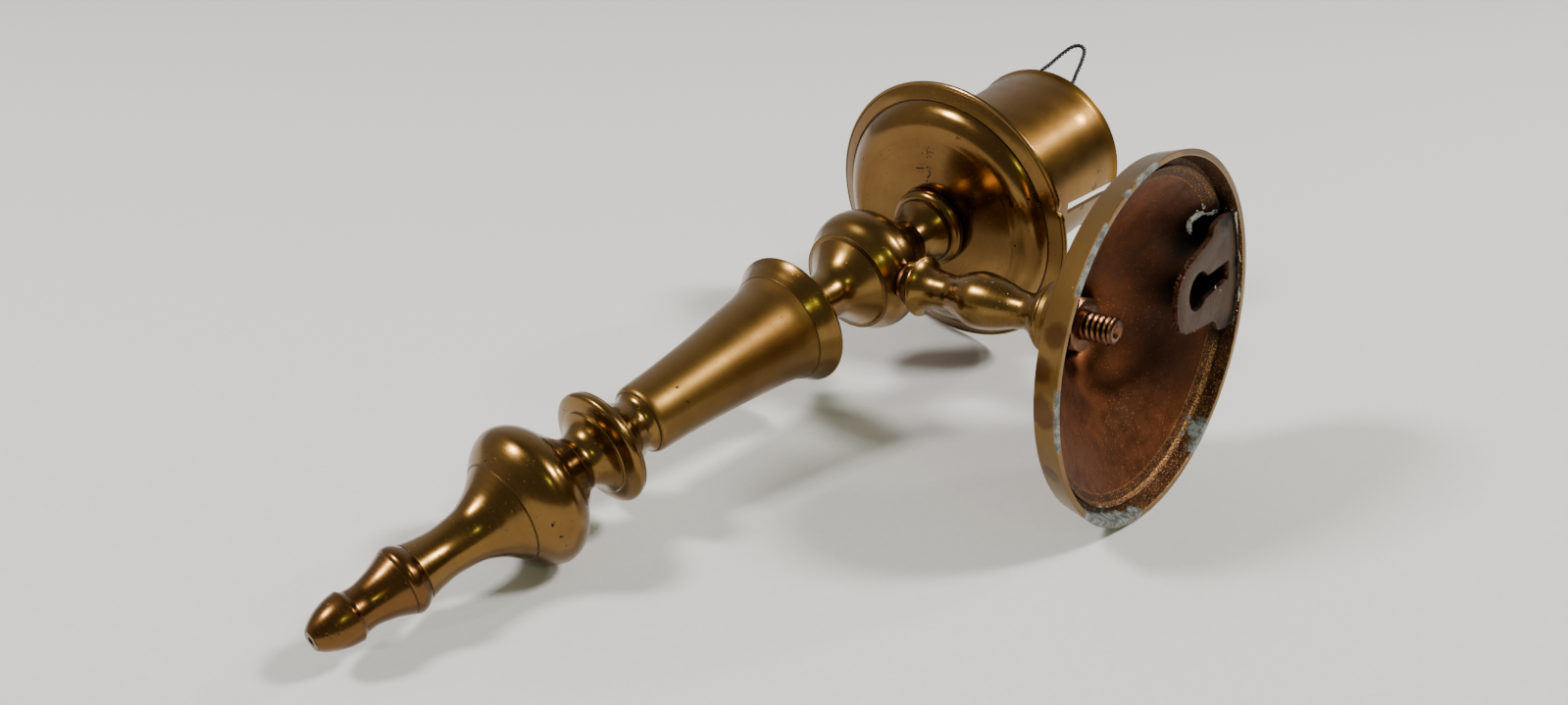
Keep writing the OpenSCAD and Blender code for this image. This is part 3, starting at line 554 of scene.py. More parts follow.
def sawn_steel(name):
    """The hanger's sawn edges: dark rust with bright coppery chips, black inside the keyhole."""
    material, tree, shader, place = fresh_material(name)
    chips = cloudy(tree, place, 1400.0, 4.0, 0.7)
    clouds = cloudy(tree, place, 500.0, 4.0, 0.6)
    colour = mixed(tree, spread(tree, clouds, 0.38, 0.62), rgb(0.050, 0.016, 0.008), rgb(0.150, 0.058, 0.034))
    colour = mixed(tree, spread(tree, chips, 0.60, 0.68), colour, rgb(0.48, 0.30, 0.20))
    hole = spread(tree, near_spots(tree, place, [(1, -2.7, 19.6, 8), (1, -2.7, 27, 8)]), 0.35, 0.6, 0.0, 0.9)
    colour = mixed(tree, hole, colour, rgb(0.010, 0.006, 0.004))
    tree.links.new(colour, shader.inputs["Base Color"])
    shader.inputs["Metallic"].default_value = 0.6
    tree.links.new(spread(tree, chips, 0.3, 0.7, 0.6, 0.38), shader.inputs["Roughness"])
    bump = add(tree, "Bump", {"Height": chips, "Strength": 0.9, "Distance": 0.00015}).outputs[0]
    tree.links.new(bump, shader.inputs["Normal"])
    return material


hanger_steel = old_steel("hanger_steel")
sawn_edge = sawn_steel("sawn_edge")
hanger = rounded_off(sawn_sheet([hanger_runs, keyhole_runs], HANGER_FACE, HANGER_T, SAW_WANDER), 0.12)
hanger.normal_update()
for face in hanger.faces:
    if abs(face.normal.y) < 0.95:
        face.material_index = 1
# Crusts of rust along the sawn end of the tongue
random.seed(5)
TONGUE_Z = 0.022
CRUMB_AREA = 0.09 * MM * MM
crumbs = []
for face in hanger.faces:
    middle = face.calc_center_median()
    at_keyhole = math.hypot(middle.x - KEY_X * MM, middle.z - KEY_Z * MM) < (KEY_R + 0.3) * MM
    sawn = abs(face.normal.y) < 0.5 and not at_keyhole and middle.z < TONGUE_Z
    if sawn and noise.noise(middle / (1.3 * MM)) > -0.1:
        for k in range(math.ceil(face.calc_area() / CRUMB_AREA)):
            a, b, c = (random.choice(face.verts).co for corner in range(3))
            crumbs.append(a.lerp(b, random.random()).lerp(c, random.random() * 0.7) / MM)
made(hanger, "keyhole_hanger", [hanger_steel, sawn_edge], "root", "hanger_plate", sharp=30)


def as_mesh(thing):
    """A new mesh of an object with its modifiers worked out."""
    bpy.context.view_layer.update()
    return bpy.data.meshes.new_from_object(thing.evaluated_get(bpy.context.evaluated_depsgraph_get()))


def blob(bm, place, size, flat=0.6):
    """A small lump, squat along the arm's axis."""
    turn = Matrix.Rotation(random.uniform(0, math.pi), 3, "Y").to_euler()
    squat = Vector((random.uniform(0.8, 1.4), flat, 1)) * size * MM
    grown = Matrix.LocRotScale(Vector(place) * MM, turn, squat)
    bmesh.ops.create_icosphere(bm, subdivisions=2, radius=1.0, matrix=grown)


def run_together(bm, voxel, ragged):
    """The same lumps grown into one another, with a ragged skin."""
    mesh = bpy.data.meshes.new("lumps")
    bm.to_mesh(mesh)
    bm.free()
    lumps = bpy.data.objects.new("lumps", mesh)
    bpy.context.scene.collection.objects.link(lumps)
    skin = lumps.modifiers.new("skin", "REMESH")
    skin.mode = "VOXEL"
    skin.voxel_size = voxel * MM
    grown = bmesh.new()
    grown.from_mesh(as_mesh(lumps))
    bpy.data.objects.remove(lumps)
    for v in grown.verts:
        v.co += v.normal * noise.noise(v.co / (0.4 * MM)) * ragged * MM
    bmesh.ops.smooth_vert(
        grown, verts=grown.verts, factor=0.4, use_axis_x=True, use_axis_y=True, use_axis_z=True
    )
    return grown


rust = bmesh.new()
for place in crumbs:
    blob(rust, place, random.uniform(0.1, 0.24), 1.0)
made(run_together(rust, 0.09, 0.08), "rust_crust", [sawn_edge], "root", sharp=70)


# Solder: run between the hanger's edge and the plate's wall with a torch. Black flux covers most
# of it, dull white streaks show on the wall, and a lumpy tail ran off over the ledge beside it.
FLUX_FROM = -21.5
FLUX_TO = 22.5
FLUX_STEPS = 120
streaks = [
    [(21.5, 0.62, 0.24), (19.3, 0.74, 0.27), (17.4, 0.76, 0.22), (15.5, 0.8, 0.16), (13.2, 0.85, 0.12),
     (10.8, 0.86, 0.1)],
    [(5.2, 0.78, 0.1), (2.8, 0.63, 0.17), (1.0, 0.45, 0.12)],
    [(-3.2, 0.77, 0.16), (-4.8, 0.82, 0.12)],
    [(-8.0, 0.52, 0.17), (-10.0, 0.47, 0.23), (-12.0, 0.45, 0.18), (-13.4, 0.46, 0.11)],
    [(-16.6, 0.4, 0.18)],
    [(-19.6, 0.66, 0.1), (-20.9, 1.17, 0.15), (-22.3, 1.95, 0.1), (-23.8, 3.0, 0.13)],
]


def dull_solder(name):
    material, tree, shader, place = fresh_material(name)
    clouds = cloudy(tree, place, 900.0, 4.0, 0.65)
    colour = mixed(tree, spread(tree, clouds, 0.36, 0.5), rgb(0.05, 0.045, 0.04), rgb(0.60, 0.62, 0.60))
    tree.links.new(colour, shader.inputs["Base Color"])
    shader.inputs["Metallic"].default_value = 0.35
    tree.links.new(spread(tree, clouds, 0.3, 0.7, 0.36, 0.55), shader.inputs["Roughness"])
    bump = add(tree, "Bump", {"Height": clouds, "Strength": 0.5, "Distance": 0.0002}).outputs[0]
    tree.links.new(bump, shader.inputs["Normal"])
    return material


def burnt_flux(name):
    """Black glassy flux with brown crumbs."""
    material, tree, shader, place = fresh_material(name)
    crumbs = cloudy(tree, place, 1300.0, 3.0, 0.6)
    colour = mixed(tree, spread(tree, crumbs, 0.52, 0.7), rgb(0.006, 0.005, 0.005), rgb(0.075, 0.040, 0.022))
    tree.links.new(colour, shader.inputs["Base Color"])
    tree.links.new(spread(tree, crumbs, 0.3, 0.7, 0.3, 0.6), shader.inputs["Roughness"])
    bump = add(tree, "Bump", {"Height": crumbs, "Strength": 0.6, "Distance": 0.00015}).outputs[0]
    tree.links.new(bump, shader.inputs["Normal"])
    return material


def hollow_depth(radius):
    """How far behind the wall plane the hollow's surface lies, near its rim."""
    if radius < 33.9:
        return 3.3 + (33.9 - radius) * 0.57
    return min(3.0, (36.8 - radius) * 3.7)


def on_hollow(x, z):
    return Vector((x, -0.25 - hollow_depth(math.hypot(x, z)), z))


def on_wall(degrees, depth, inset):
    """A point on the rim's sloping inner wall, some way behind the wall plane."""
    radius = 36.8 - depth * 0.27 - inset
    angle = math.radians(degrees)
    return Vector((radius * math.sin(angle), -depth, radius * math.cos(angle)))


random.seed(11)
flux = bmesh.new()
for i in range(FLUX_STEPS):
    degrees = FLUX_FROM + (FLUX_TO - FLUX_FROM) * i / (FLUX_STEPS - 1)
    blob(flux, on_wall(degrees, 1.05 + random.uniform(-0.15, 0.1), 0.1), random.uniform(0.18, 0.3), 1.0)
flux = run_together(flux, 0.13, 0.1)
made(flux, "flux_fillet", [burnt_flux("burnt_flux")], "root", sharp=70)

solder = bmesh.new()
for streak in streaks:
    ends = streak if len(streak) > 1 else streak * 2
    for (a, deep_a, wide_a), (b, deep_b, wide_b) in zip(ends, ends[1:]):
        steps = max(2, math.ceil(abs(a - b) / 0.3))
        for k in range(steps):
            t = k / steps
            place = on_wall(a + (b - a) * t, deep_a + (deep_b - deep_a) * t + random.uniform(-0.05, 0.05), 0.2)
            blob(solder, place, (wide_a + (wide_b - wide_a) * t) * random.uniform(0.8, 1.25), 1.0)
tail = [(11.4, 25.9, 0.4), (12.0, 25.7, 0.75), (13.3, 25.2, 0.98), (14.5, 25.4, 1.02), (15.1, 26.2, 0.85),
        (15.2, 27.0, 0.75), (15.3, 27.6, 0.5), (14.9, 28.5, 0.42), (14.7, 29.3, 0.5), (14.7, 30.2, 0.6),
        (14.9, 30.8, 0.5), (15.1, 31.2, 0.36)]
for (ax, az, wide_a), (bx, bz, wide_b) in zip(tail, tail[1:]):
    for k in range(4):
        t = k / 4
        x = ax + (bx - ax) * t + random.uniform(-0.2, 0.2)
        z = az + (bz - az) * t + random.uniform(-0.2, 0.2)
        blob(solder, on_hollow(x, z), (wide_a + (wide_b - wide_a) * t) * random.uniform(0.7, 1.0), 0.55)
strays = [(17.4, 27.1, 0.4), (16.8, 27.5, 0.5), (17.9, 26.8, 0.22), (16.5, 26.1, 0.32), (10.9, 26.2, 0.22),
          (14.6, 32.6, 0.16), (14.5, 33.2, 0.24), (14.1, 33.7, 0.28), (13.6, 34.1, 0.22),
          (-13.6, 33.0, 0.25), (-14.2, 31.6, 0.22), (-15.4, 30.2, 0.25)]
for x, z, size in strays:
    blob(solder, on_hollow(x, z), size, 0.8)
bits = [(-1.25, -1.6, 26.9, 0.32), (-1.1, -1.8, 27.5, 0.2), (-2.4, -1.15, 28.5, 0.2), (-2.8, -1.15, 27.9, 0.17),
        (-3.1, -1.15, 27.4, 0.12), (1.6, -1.3, 32.9, 0.14), (0.5, -1.3, 32.9, 0.12)]
for x, y, z, size in bits:
    blob(solder, (x, y, z), size, 0.7)
solder = run_together(solder, 0.12, 0.12)
made(solder, "solder_run", [dull_solder("dull_solder")], "root", "hanger_solder", sharp=70)


# Nut: a hexagon nut of dark coppery brass, run up against the bottom of the well.
def coppery(name, colour=(0.26, 0.125, 0.062), rough=0.24, groove=0.0):
    """Dark coppery brass of bought nuts, rods and screws, oily, and black below the groove's radius."""
    material, tree, shader, place = fresh_material(name)
    clouds = cloudy(tree, place, 240.0, 5.0, 0.6)
    scratches = cloudy(tree, place, 1300.0, 3.0, 0.6)
    worn = mixed(tree, spread(tree, clouds, 0.38, 0.66), rgb(*colour), rgb(0.10, 0.040, 0.018))
    worn = mixed(tree, spread(tree, scratches, 0.62, 0.74, 0.0, 0.5), worn, rgb(0.42, 0.25, 0.15))
    if groove:
        level = add(tree, "VectorMath", {0: place, 1: (1, 0, 1)}, operation="MULTIPLY").outputs[0]
        radius = add(tree, "VectorMath", {0: level}, operation="LENGTH").outputs["Value"]
        deep = spread(tree, radius, (groove - 0.4) * MM, (groove - 0.08) * MM, 0.75, 0.0)
        deep = maths(tree, "MULTIPLY", deep, spread(tree, radius, 1.9 * MM, 2.1 * MM))
        worn = mixed(tree, deep, worn, rgb(0.022, 0.010, 0.006))
    tree.links.new(worn, shader.inputs["Base Color"])
    shader.inputs["Metallic"].default_value = 1.0
    tree.links.new(spread(tree, clouds, 0.3, 0.7, rough, rough + 0.2), shader.inputs["Roughness"])
    bump = add(tree, "Bump", {"Height": scratches, "Strength": 0.3, "Distance": 0.00006}).outputs[0]
    tree.links.new(bump, shader.inputs["Normal"])
    return material


nut_brass = coppery("nut_brass")
made(dressed("plate_nut", 0.18, 25), "hexagon_nut", [nut_brass], "root", "plate_nut", sharp=30)


# Rod: a quarter-inch threaded rod through plate, arm and disc, with a lathe centre in its end.
ROD_R = 3.1
ROOT_R = 2.35
PITCH = 1.27
THREAD_SIDES = 48
rod_low, rod_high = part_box("arm_rod")
rod_back = -rod_high.y / MM
rod_front = -rod_low.y / MM
thread_end = 16.0


def threaded_rod():
    """Threads cut by turning one tooth along its helix, trimmed flat, on a plain rod."""
    bm = bmesh.new()
    start = rod_back - 2 * PITCH
    tooth = [(ROOT_R, 0), (ROD_R - 0.04, 0.40), (ROD_R, 0.5), (ROD_R - 0.04, 0.60), (ROOT_R, 1.0)]
    verts = [bm.verts.new(Vector((r, -(start + PITCH * s), 0)) * MM) for r, s in tooth]
    for a, b in zip(verts, verts[1:]):
        bm.edges.new((a, b))
    turns = math.ceil((thread_end - start) / PITCH) + 1
    bmesh.ops.spin(
        bm, geom=bm.verts[:] + bm.edges[:], cent=(0, 0, 0), axis=(0, -1, 0),
        dvec=Vector((0, -PITCH * MM / THREAD_SIDES, 0)), angle=2 * math.pi * turns,
        steps=THREAD_SIDES * turns
    )
    bmesh.ops.remove_doubles(bm, verts=bm.verts, dist=4e-6)
    for y, outward in ((-rod_back, 1), (-thread_end, -1)):
        bmesh.ops.bisect_plane(
            bm, geom=bm.verts[:] + bm.edges[:] + bm.faces[:], dist=1e-7,
            plane_co=(0, y * MM, 0), plane_no=(0, outward, 0), clear_outer=True
        )
    for v in bm.verts:
        depth = -v.co.y / MM - rod_back
        radius = math.hypot(v.co.x, v.co.z) / MM
        limit = ROOT_R + 0.15 + depth * 0.9
        if radius > limit:
            v.co.x *= limit / radius
            v.co.z *= limit / radius
    edges = [e for e in bm.edges if e.is_boundary]
    bmesh.ops.holes_fill(bm, edges=edges, sides=0)
    bmesh.ops.recalc_face_normals(bm, faces=bm.faces)
    end = min(bm.faces, key=lambda f: -f.calc_center_median().y if f.calc_area() > 4e-6 else 9)
    bmesh.ops.inset_region(bm, faces=[end], thickness=1.25 * MM, depth=0)
    bmesh.ops.inset_region(bm, faces=[end], thickness=0.55 * MM, depth=-0.6 * MM)
    return bm


def joined(bm, other):
    """Takes another bmesh's solid into this one."""
    mesh = bpy.data.meshes.new("joined")
    other.to_mesh(mesh)
    other.free()
    bm.from_mesh(mesh)
    bpy.data.meshes.remove(mesh)
    return bm


rod = joined(threaded_rod(), turned(
    [[(0, thread_end), (ROD_R, thread_end)], [(ROD_R, rod_front), (0, rod_front)]], sides=64, closed=False
))
made(rod, "threaded_rod", [coppery("thread_brass", (0.27, 0.115, 0.058), 0.22, 2.95)], "root", "arm_rod", sharp=50)


# Arm: a beaded ring against the hub, a baluster-shaped arm with a flared front, and a thin dark
# disc that the ball bears on. All three are clamped by the rod.
arm_brass = brass(
    "arm_brass", WALL, OUT, satin=0.21, tarnish=0.45, pits=0.6, marks=[(5.1, -36.4, -1.8, 1.2)],
    dust=[(5, -36, -3, 6), (5, -45, -3, 4)]
)
ring_runs = [
    [(3.25, 24.0), (7.3, 24.0)],
    [(7.5, 24.2), (7.6, 24.6), (7.45, 25.1), (6.95, 25.6)],
    [(6.5, 25.75), (6.35, 26.3), (5.7, 26.75)],
    [(5.3, 26.9), (5.0, 27.5), (4.7, 28.2)],
    [(3.25, 28.2), (3.25, 24.0)],
]
ring = turned(ring_runs, dark=[(7.4, 24.0), (6.7, 25.7), (5.5, 26.85), (4.7, 28.2)], sides=120, edge=0.08)
made(ring, "beaded_ring", [arm_brass], "root", "arm_ring")

arm_runs = [
    [(3.25, 28.2), (4.35, 28.2)],
    [(4.35, 28.2), (4.05, 29.8), (4.15, 31.2), (4.45, 33.2), (5.0, 35.1), (5.6, 37.1), (6.07, 39.1),
     (6.4, 42.1), (6.1, 44.1), (5.45, 46.0), (4.6, 48.0), (4.15, 49.5), (4.12, 50.5), (4.3, 52.0), (4.5, 54.0),
     (5.2, 56.0), (6.25, 57.3), (6.95, 57.8)],
    [(7.0, 58.1), (6.3, 59.1), (5.6, 60.1), (5.1, 61.25)],
    [(3.25, 61.25), (3.25, 28.2)],
]
arm = turned(arm_runs, dark=[(4.4, 28.2), (5.1, 61.25)], sides=144)
made(arm, "baluster_arm", [arm_brass], "root", "arm")

disc_runs = [[(3.25, 61.25), (4.9, 61.25)], [(4.9, 62.15), (3.25, 62.15)]]
made(turned(disc_runs, sides=96), "bearing_disc", [nut_brass], "root", "arm_disc")


# Ball and neck: one turned piece, with a flat and a bore towards the wall for the arm, and
# tapped holes above and below.
STEM = Vector((0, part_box("tie_rod")[0].y + (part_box("tie_rod")[1].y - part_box("tie_rod")[0].y) / 2, 0))
UP = Vector((0, 0, 1))
DENTS = [
    (0.9, -63.1, -104.1, 0.9), (-2.3, -63, -103.6, 0.8), (-4.9, -63, -102.6, 0.8), (11, -76.9, -106.1, 0.9),
    (0.8, -68.5, -84.6, 0.9), (-3.2, -69.1, -84.6, 0.8), (-1.2, -67.7, -83.9, 0.9), (0.8, -74.3, -146.4, 1.2),
    (1.4, -72.9, -144.4, 1.1), (5.7, -70.8, -64.8, 0.8), (2.7, -68.8, -64.7, 0.8), (4.3, -64.2, -30.3, 0.8)
]
stem_brass = brass("stem_brass", STEM, UP, satin=0.18, tarnish=0.5, marks=DENTS)


def on_stem(node):
    """The point on the stem's axis at a node's lower end."""
    return Vector((STEM.x, STEM.y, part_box(node)[0].z))


def cut(piece, cutter_bm):
    """Takes a solid out of a finished piece and leaves its new edges sharp."""
    mesh = bpy.data.meshes.new("cutter")
    cutter_bm.to_mesh(mesh)
    cutter_bm.free()
    cutter = bpy.data.objects.new("cutter", mesh)
    bpy.context.scene.collection.objects.link(cutter)
    bite = piece.modifiers.new("bite", "BOOLEAN")
    bite.operation = "DIFFERENCE"
    bite.solver = "EXACT"
    bite.object = cutter
    bitten = as_mesh(piece)
    piece.modifiers.clear()
    piece.data = bitten
    bpy.data.objects.remove(cutter)
    piece.data.shade_smooth()
    piece.data.set_sharp_from_angle(angle=math.radians(38))


ball_runs = [
    [(0, 0.4), (2.15, 0.4)],
    [(2.15, -5.8), (11.9, -5.8)],
    [(11.9, -5.8), (12.8, -4.0), (14.1, -1.9), (14.65, 0.0), (14.7, 0.9), (14.6, 2.2), (14.2, 4.1),
     (13.15, 6.0), (11.3, 8.0), (9.6, 10.0), (8.0, 12.0), (6.75, 14.0), (5.85, 17.0)],
    [(5.85, 17.0), (6.35, 19.2), (7.1, 21.2), (8.2, 23.2)],
    [(8.3, 24.2), (2.55, 24.2)],
    [(2.55, 13.0), (0, 13.0)],
]
ball = turned(
    ball_runs, STEM, UP, dark=[(11.9, -5.8), (8.2, 23.3), (8.3, 24.2)], sides=192, closed=False
)
ball_piece = made(ball, "ball_and_neck", [stem_brass], "stem", "ball")
cut(ball_piece, turned([[(0, 48), (5.3, 48)], [(5.3, 62.2), (3.15, 62.2)], [(3.15, 70), (0, 70)]],
                       sides=96, edge=0.01, closed=False))

bead_runs = [
    [(2.55, 0), (8.05, 0)],
    [(8.05 + 2.05 * math.sin(a), 2.05 - 2.05 * math.cos(a)) for a in [math.pi * k / 12 for k in range(13)]],
    [(2.55, 4.1), (2.55, 0)],
]
bead = turned(bead_runs, on_stem("round_bead"), UP, dark=[(8.4, 0), (8.4, 4.1)], sides=144)
made(bead, "round_bead_ring", [stem_brass], "stem", "round_bead")


# Drip pan: a shallow dish turned from a casting, with a fine groove and a flared band, pitted
# and scratched, and nicked once in its rim.
pan_brass = brass(
    "pan_brass", STEM, UP, satin=0.15, tarnish=0.75, pits=1.0, gold=rgb(0.215, 0.119, 0.031),
    marks=[(19.4, -75, 28.3, 1.8), (27, -75.4, 29.3, 0.8), (24, -66, 29, 1)],
    pins=[(14.6, -79.3, 28.3, 0.32), (14.65, -78.8, 28.3, 0.32), (14.7, -78.3, 28.3, 0.32),
          (14.75, -77.8, 28.3, 0.32), (14.8, -77.3, 28.3, 0.3), (15.2, -75.9, 28.3, 0.35),
          (14.3, -75.5, 28.3, 0.3), (13.8, -75.4, 28.3, 0.3), (13.3, -75.5, 28.3, 0.3),
          (12.9, -75.8, 28.3, 0.32), (12.5, -76.2, 28.3, 0.32), (11.5, -76.6, 28.3, 0.32),
          (17.9, -75.6, 28.3, 0.3), (18.8, -77.0, 28.3, 0.26), (32.5, -75.4, 33.3, 0.4),
          (30.7, -89.3, 34.2, 0.35), (26.0, -89.8, 31.7, 0.35), (26.7, -75.0, 29.2, 0.4),
          (11.2, -48.0, 31.5, 0.6), (10.6, -47.8, 31.5, 0.5), (10.3, -47.6, 31.5, 0.6),
          (9.8, -47.4, 31.6, 0.5), (9.4, -47.1, 31.7, 0.7), (9.0, -46.5, 31.9, 0.5), (11.0, -48.5, 30.9, 0.45),
          (10.2, -48.7, 30.4, 0.5), (8.0, -47.0, 31.6, 0.4), (4.3, -49.0, 29.3, 0.35), (-1.6, -52.3, 28.4, 0.4)]
)
pan_runs = [
    [(2.55, 0), (23.0, 0)],
    [(23.0, 0), (25.0, 0.35), (27.0, 1.25), (28.8, 2.6), (30.1, 4.05), (30.6, 4.9)],
    [(30.65, 5.2), (30.9, 5.2)],
    [(31.0, 4.98), (32.6, 5.58), (33.9, 6.15)],
    [(33.95, 6.25), (34.1, 6.25)],
    [(34.15, 6.15), (34.55, 6.3), (34.85, 6.7), (34.8, 7.15), (34.4, 7.45), (33.9, 7.4)],
    [(33.9, 7.4), (32.4, 6.8), (31.0, 6.3)],
    [(30.3, 6.2), (29.5, 5.1), (28.3, 3.8), (26.6, 2.45), (24.8, 1.5), (23.0, 1.2)],
    [(2.55, 1.2), (2.55, 0)],
]
pan = turned(
    pan_runs, on_stem("drip_pan"), UP, dark=[(30.8, 5.2), (30.6, 6.24), (34.03, 6.28), (10.2, 0), (22.4, 1.2)],
    worn=[(34.6, 6.35)], sides=224, edge=0.08
)
NICK_AT = math.radians(78.5)
NICK_FROM = 32.9
NICK_W = 1.5
NICK_DEEP = 1.2
PAN_FLAT_R = 23.0
PAN_LEAN_R = 30.0
PAN_LEAN = Vector((0.0216, 0.040))
for v in pan.verts:
    x, y = v.co.x - STEM.x, v.co.y - STEM.y
    radius = math.hypot(x, y)
    bent = min(1, max(0, (radius / MM - PAN_FLAT_R) / (PAN_LEAN_R - PAN_FLAT_R)))
    v.co.z -= PAN_LEAN.dot((x, y)) * bent * bent * (3 - 2 * bent)
    if radius > NICK_FROM * MM:
        off = (math.atan2(y, x) - NICK_AT) * radius / MM
        bite = NICK_DEEP * max(0, 1 - abs(off) / NICK_W) * (radius / MM - NICK_FROM) / 2
        v.co.x -= x / radius * bite * MM
        v.co.y -= y / radius * bite * MM
made(pan, "turned_drip_pan", [pan_brass], "stem", "drip_pan")


# Candle cup: a thin drawn cup with a flat floor and a slightly flared mouth, sawn down once at
# the wall side so that it springs.
cup_brass = brass(
    "cup_brass", STEM, UP, satin=0.27, tarnish=0.5, pits=0.5, coat=0.0, gold=rgb(0.245, 0.128, 0.027),
    marks=[(-4, -54.2, 58, 2.2), (-6.5, -54.8, 63, 2), (-3.2, -54, 68, 1.8), (1, -53.9, 70, 1.4)],
    polished=[(13.9, -58.7, 70.7, 4.4)]
)
DENT_AT = Vector((13.9, -58.7, 70.7))
DENT_R = 4.0
DENT_DEEP = 0.08
cup_runs = [
    [(2.55, 0), (22.4, 0)],
    [(22.4, 0), (22.4, 45.6)],
    [(22.4, 45.6), (22.43, 46.4), (22.5, 47.2)],
    [(22.5, 47.2), (22.8, 48.0), (23.2, 48.8)],
    [(22.1, 48.8), (21.6, 47.5), (21.3, 45.8), (21.2, 43.8)],
    [(21.2, 43.8), (21.2, 1.2)],
    [(21.2, 1.2), (2.55, 1.2)],
]
cup_foot = on_stem("candle_cup")
cup = turned(cup_runs, cup_foot, UP, dark=[(22.4, 0), (21.2, 1.2)], sides=192, edge=0.2)
for v in cup.verts:
    apart = (v.co / MM - DENT_AT).length / DENT_R
    if apart < 1:
        outwards = (v.co - STEM).to_2d().normalized().to_3d()
        v.co -= outwards * DENT_DEEP * (1 - apart * apart) ** 2 * MM
cup_piece = made(cup, "drawn_candle_cup", [cup_brass], "stem", "candle_cup")
SLIT_AT = math.radians(104)
SLIT_SLANT = math.radians(-8.3)
SLIT_W = 2.8
SLIT_L = 23.4
slit = bmesh.new()
bmesh.ops.create_cube(slit, size=1.0, matrix=(
    Matrix.Translation(cup_foot) @ Matrix.Rotation(SLIT_AT, 4, "Z")
    @ Matrix.Translation(Vector((22.5, 0, 48.8 - SLIT_L / 2 + 1)) * MM) @ Matrix.Rotation(SLIT_SLANT, 4, "X")
    @ Matrix.Diagonal((5 * MM, SLIT_W * MM, (SLIT_L + 2) * MM, 1))
))
cut(cup_piece, slit)


# Screw, washer and wire foot in the cup's floor, and the tie rod inside the drop.
screw_brass = coppery("screw_brass", (0.42, 0.26, 0.12), 0.3)
for node_name in ("cup_screw", "cup_washer", "tie_rod"):
    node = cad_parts[node_name]
    node.data.materials.clear()
    node.data.materials.append(screw_brass)


# Candle wire: two dark iron strands twisted together, bent to a tall loop that presses on the
# candle and held under the screw's washer.
def dark_iron(name):
    material, tree, shader, place = fresh_material(name)
    clouds = cloudy(tree, place, 500.0, 4.0, 0.6)
    colour = mixed(tree, spread(tree, clouds, 0.35, 0.65), rgb(0.020, 0.020, 0.022), rgb(0.075, 0.074, 0.072))
    tree.links.new(colour, shader.inputs["Base Color"])
    shader.inputs["Metallic"].default_value = 0.9
    tree.links.new(spread(tree, clouds, 0.3, 0.7, 0.3, 0.5), shader.inputs["Roughness"])
    return material


wire_iron = dark_iron("wire_iron")
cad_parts["wire_foot"].data.materials.clear()
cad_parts["wire_foot"].data.materials.append(wire_iron)
WIRE_X = 18.9
WIRE_LEFT = -2.6
WIRE_RIGHT = 9.9
STRAND_R = 0.3
TWIST = 2.1
mouth_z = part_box("candle_cup")[1].z / MM
floor_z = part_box("candle_wire")[0].z / MM
bow = [
    (19.4, -2.6, 0.5), (21.4, -1.0, 4.6), (22.4, 0.1, 7.2), (23.5, 1.0, 9.6), (24.4, 1.9, 12.0), (25.0, 2.8, 13.8),
    (25.25, 4.1, 14.6), (25.05, 5.6, 14.3), (24.5, 6.95, 13.0), (23.7, 7.8, 11.0), (22.3, 8.6, 7.8), (21.0, 9.1, 4.9),
    (19.6, 9.6, 1.8)
]
wire_points = [(WIRE_X, WIRE_LEFT, floor_z + STRAND_R)]
wire_points += [(x, y, mouth_z + up) for x, y, up in bow]
wire_points += [(WIRE_X, WIRE_RIGHT, floor_z + STRAND_R)]


def along_path(points, step):
    """Places every step along a smooth line through the points, with their directions."""
    knots = [Vector(p) for p in points]
    dense = []
    for i in range(len(knots) - 1):
        before, a, b = knots[max(i - 1, 0)], knots[i], knots[i + 1]
        after = knots[min(i + 2, len(knots) - 1)]
        span = (b - a).length
        out_of = (b - before).normalized() * span / 3
        into = (after - a).normalized() * span / 3
        dense += interpolate_bezier(a, a + out_of, b - into, b, 64)[:-1]
    dense.append(knots[-1])
    places, gone, want = [], 0.0, 0.0
    for a, b in zip(dense, dense[1:]):
        length = (b - a).length
        while want <= gone + length:
            places.append((a.lerp(b, (want - gone) / length), (b - a).normalized()))
            want += step
        gone += length
    return places


def strand(places, phase, step):
    """One strand of the twisted wire, as a poly curve made into a mesh."""
    curve = bpy.data.curves.new("strand", "CURVE")
    curve.dimensions = "3D"
    curve.bevel_depth = STRAND_R * MM
    curve.bevel_resolution = 2
    curve.use_fill_caps = True
    line = curve.splines.new("POLY")
    line.points.add(len(places) - 1)
    for i, (place, direction) in enumerate(places):
        side = direction.cross(Vector((1, 0, 0))).normalized()
        other = direction.cross(side)
        angle = 2 * math.pi * i * step / TWIST + phase
        p = (place + (side * math.cos(angle) + other * math.sin(angle)) * STRAND_R) * MM + STEM
        line.points[i].co = (*p, 1)
    thing = bpy.data.objects.new("strand", curve)
    bpy.context.scene.collection.objects.link(thing)
    mesh = as_mesh(thing)
    bpy.data.objects.remove(thing)
    return mesh


WIRE_STEP = 0.32
wire_bm = bmesh.new()
wire_places = along_path(wire_points, WIRE_STEP)
for phase in (0, math.pi):
    wire_bm.from_mesh(strand(wire_places, phase, WIRE_STEP))
made(wire_bm, "twisted_wire", [wire_iron], "spring", "candle_wire", sharp=60)


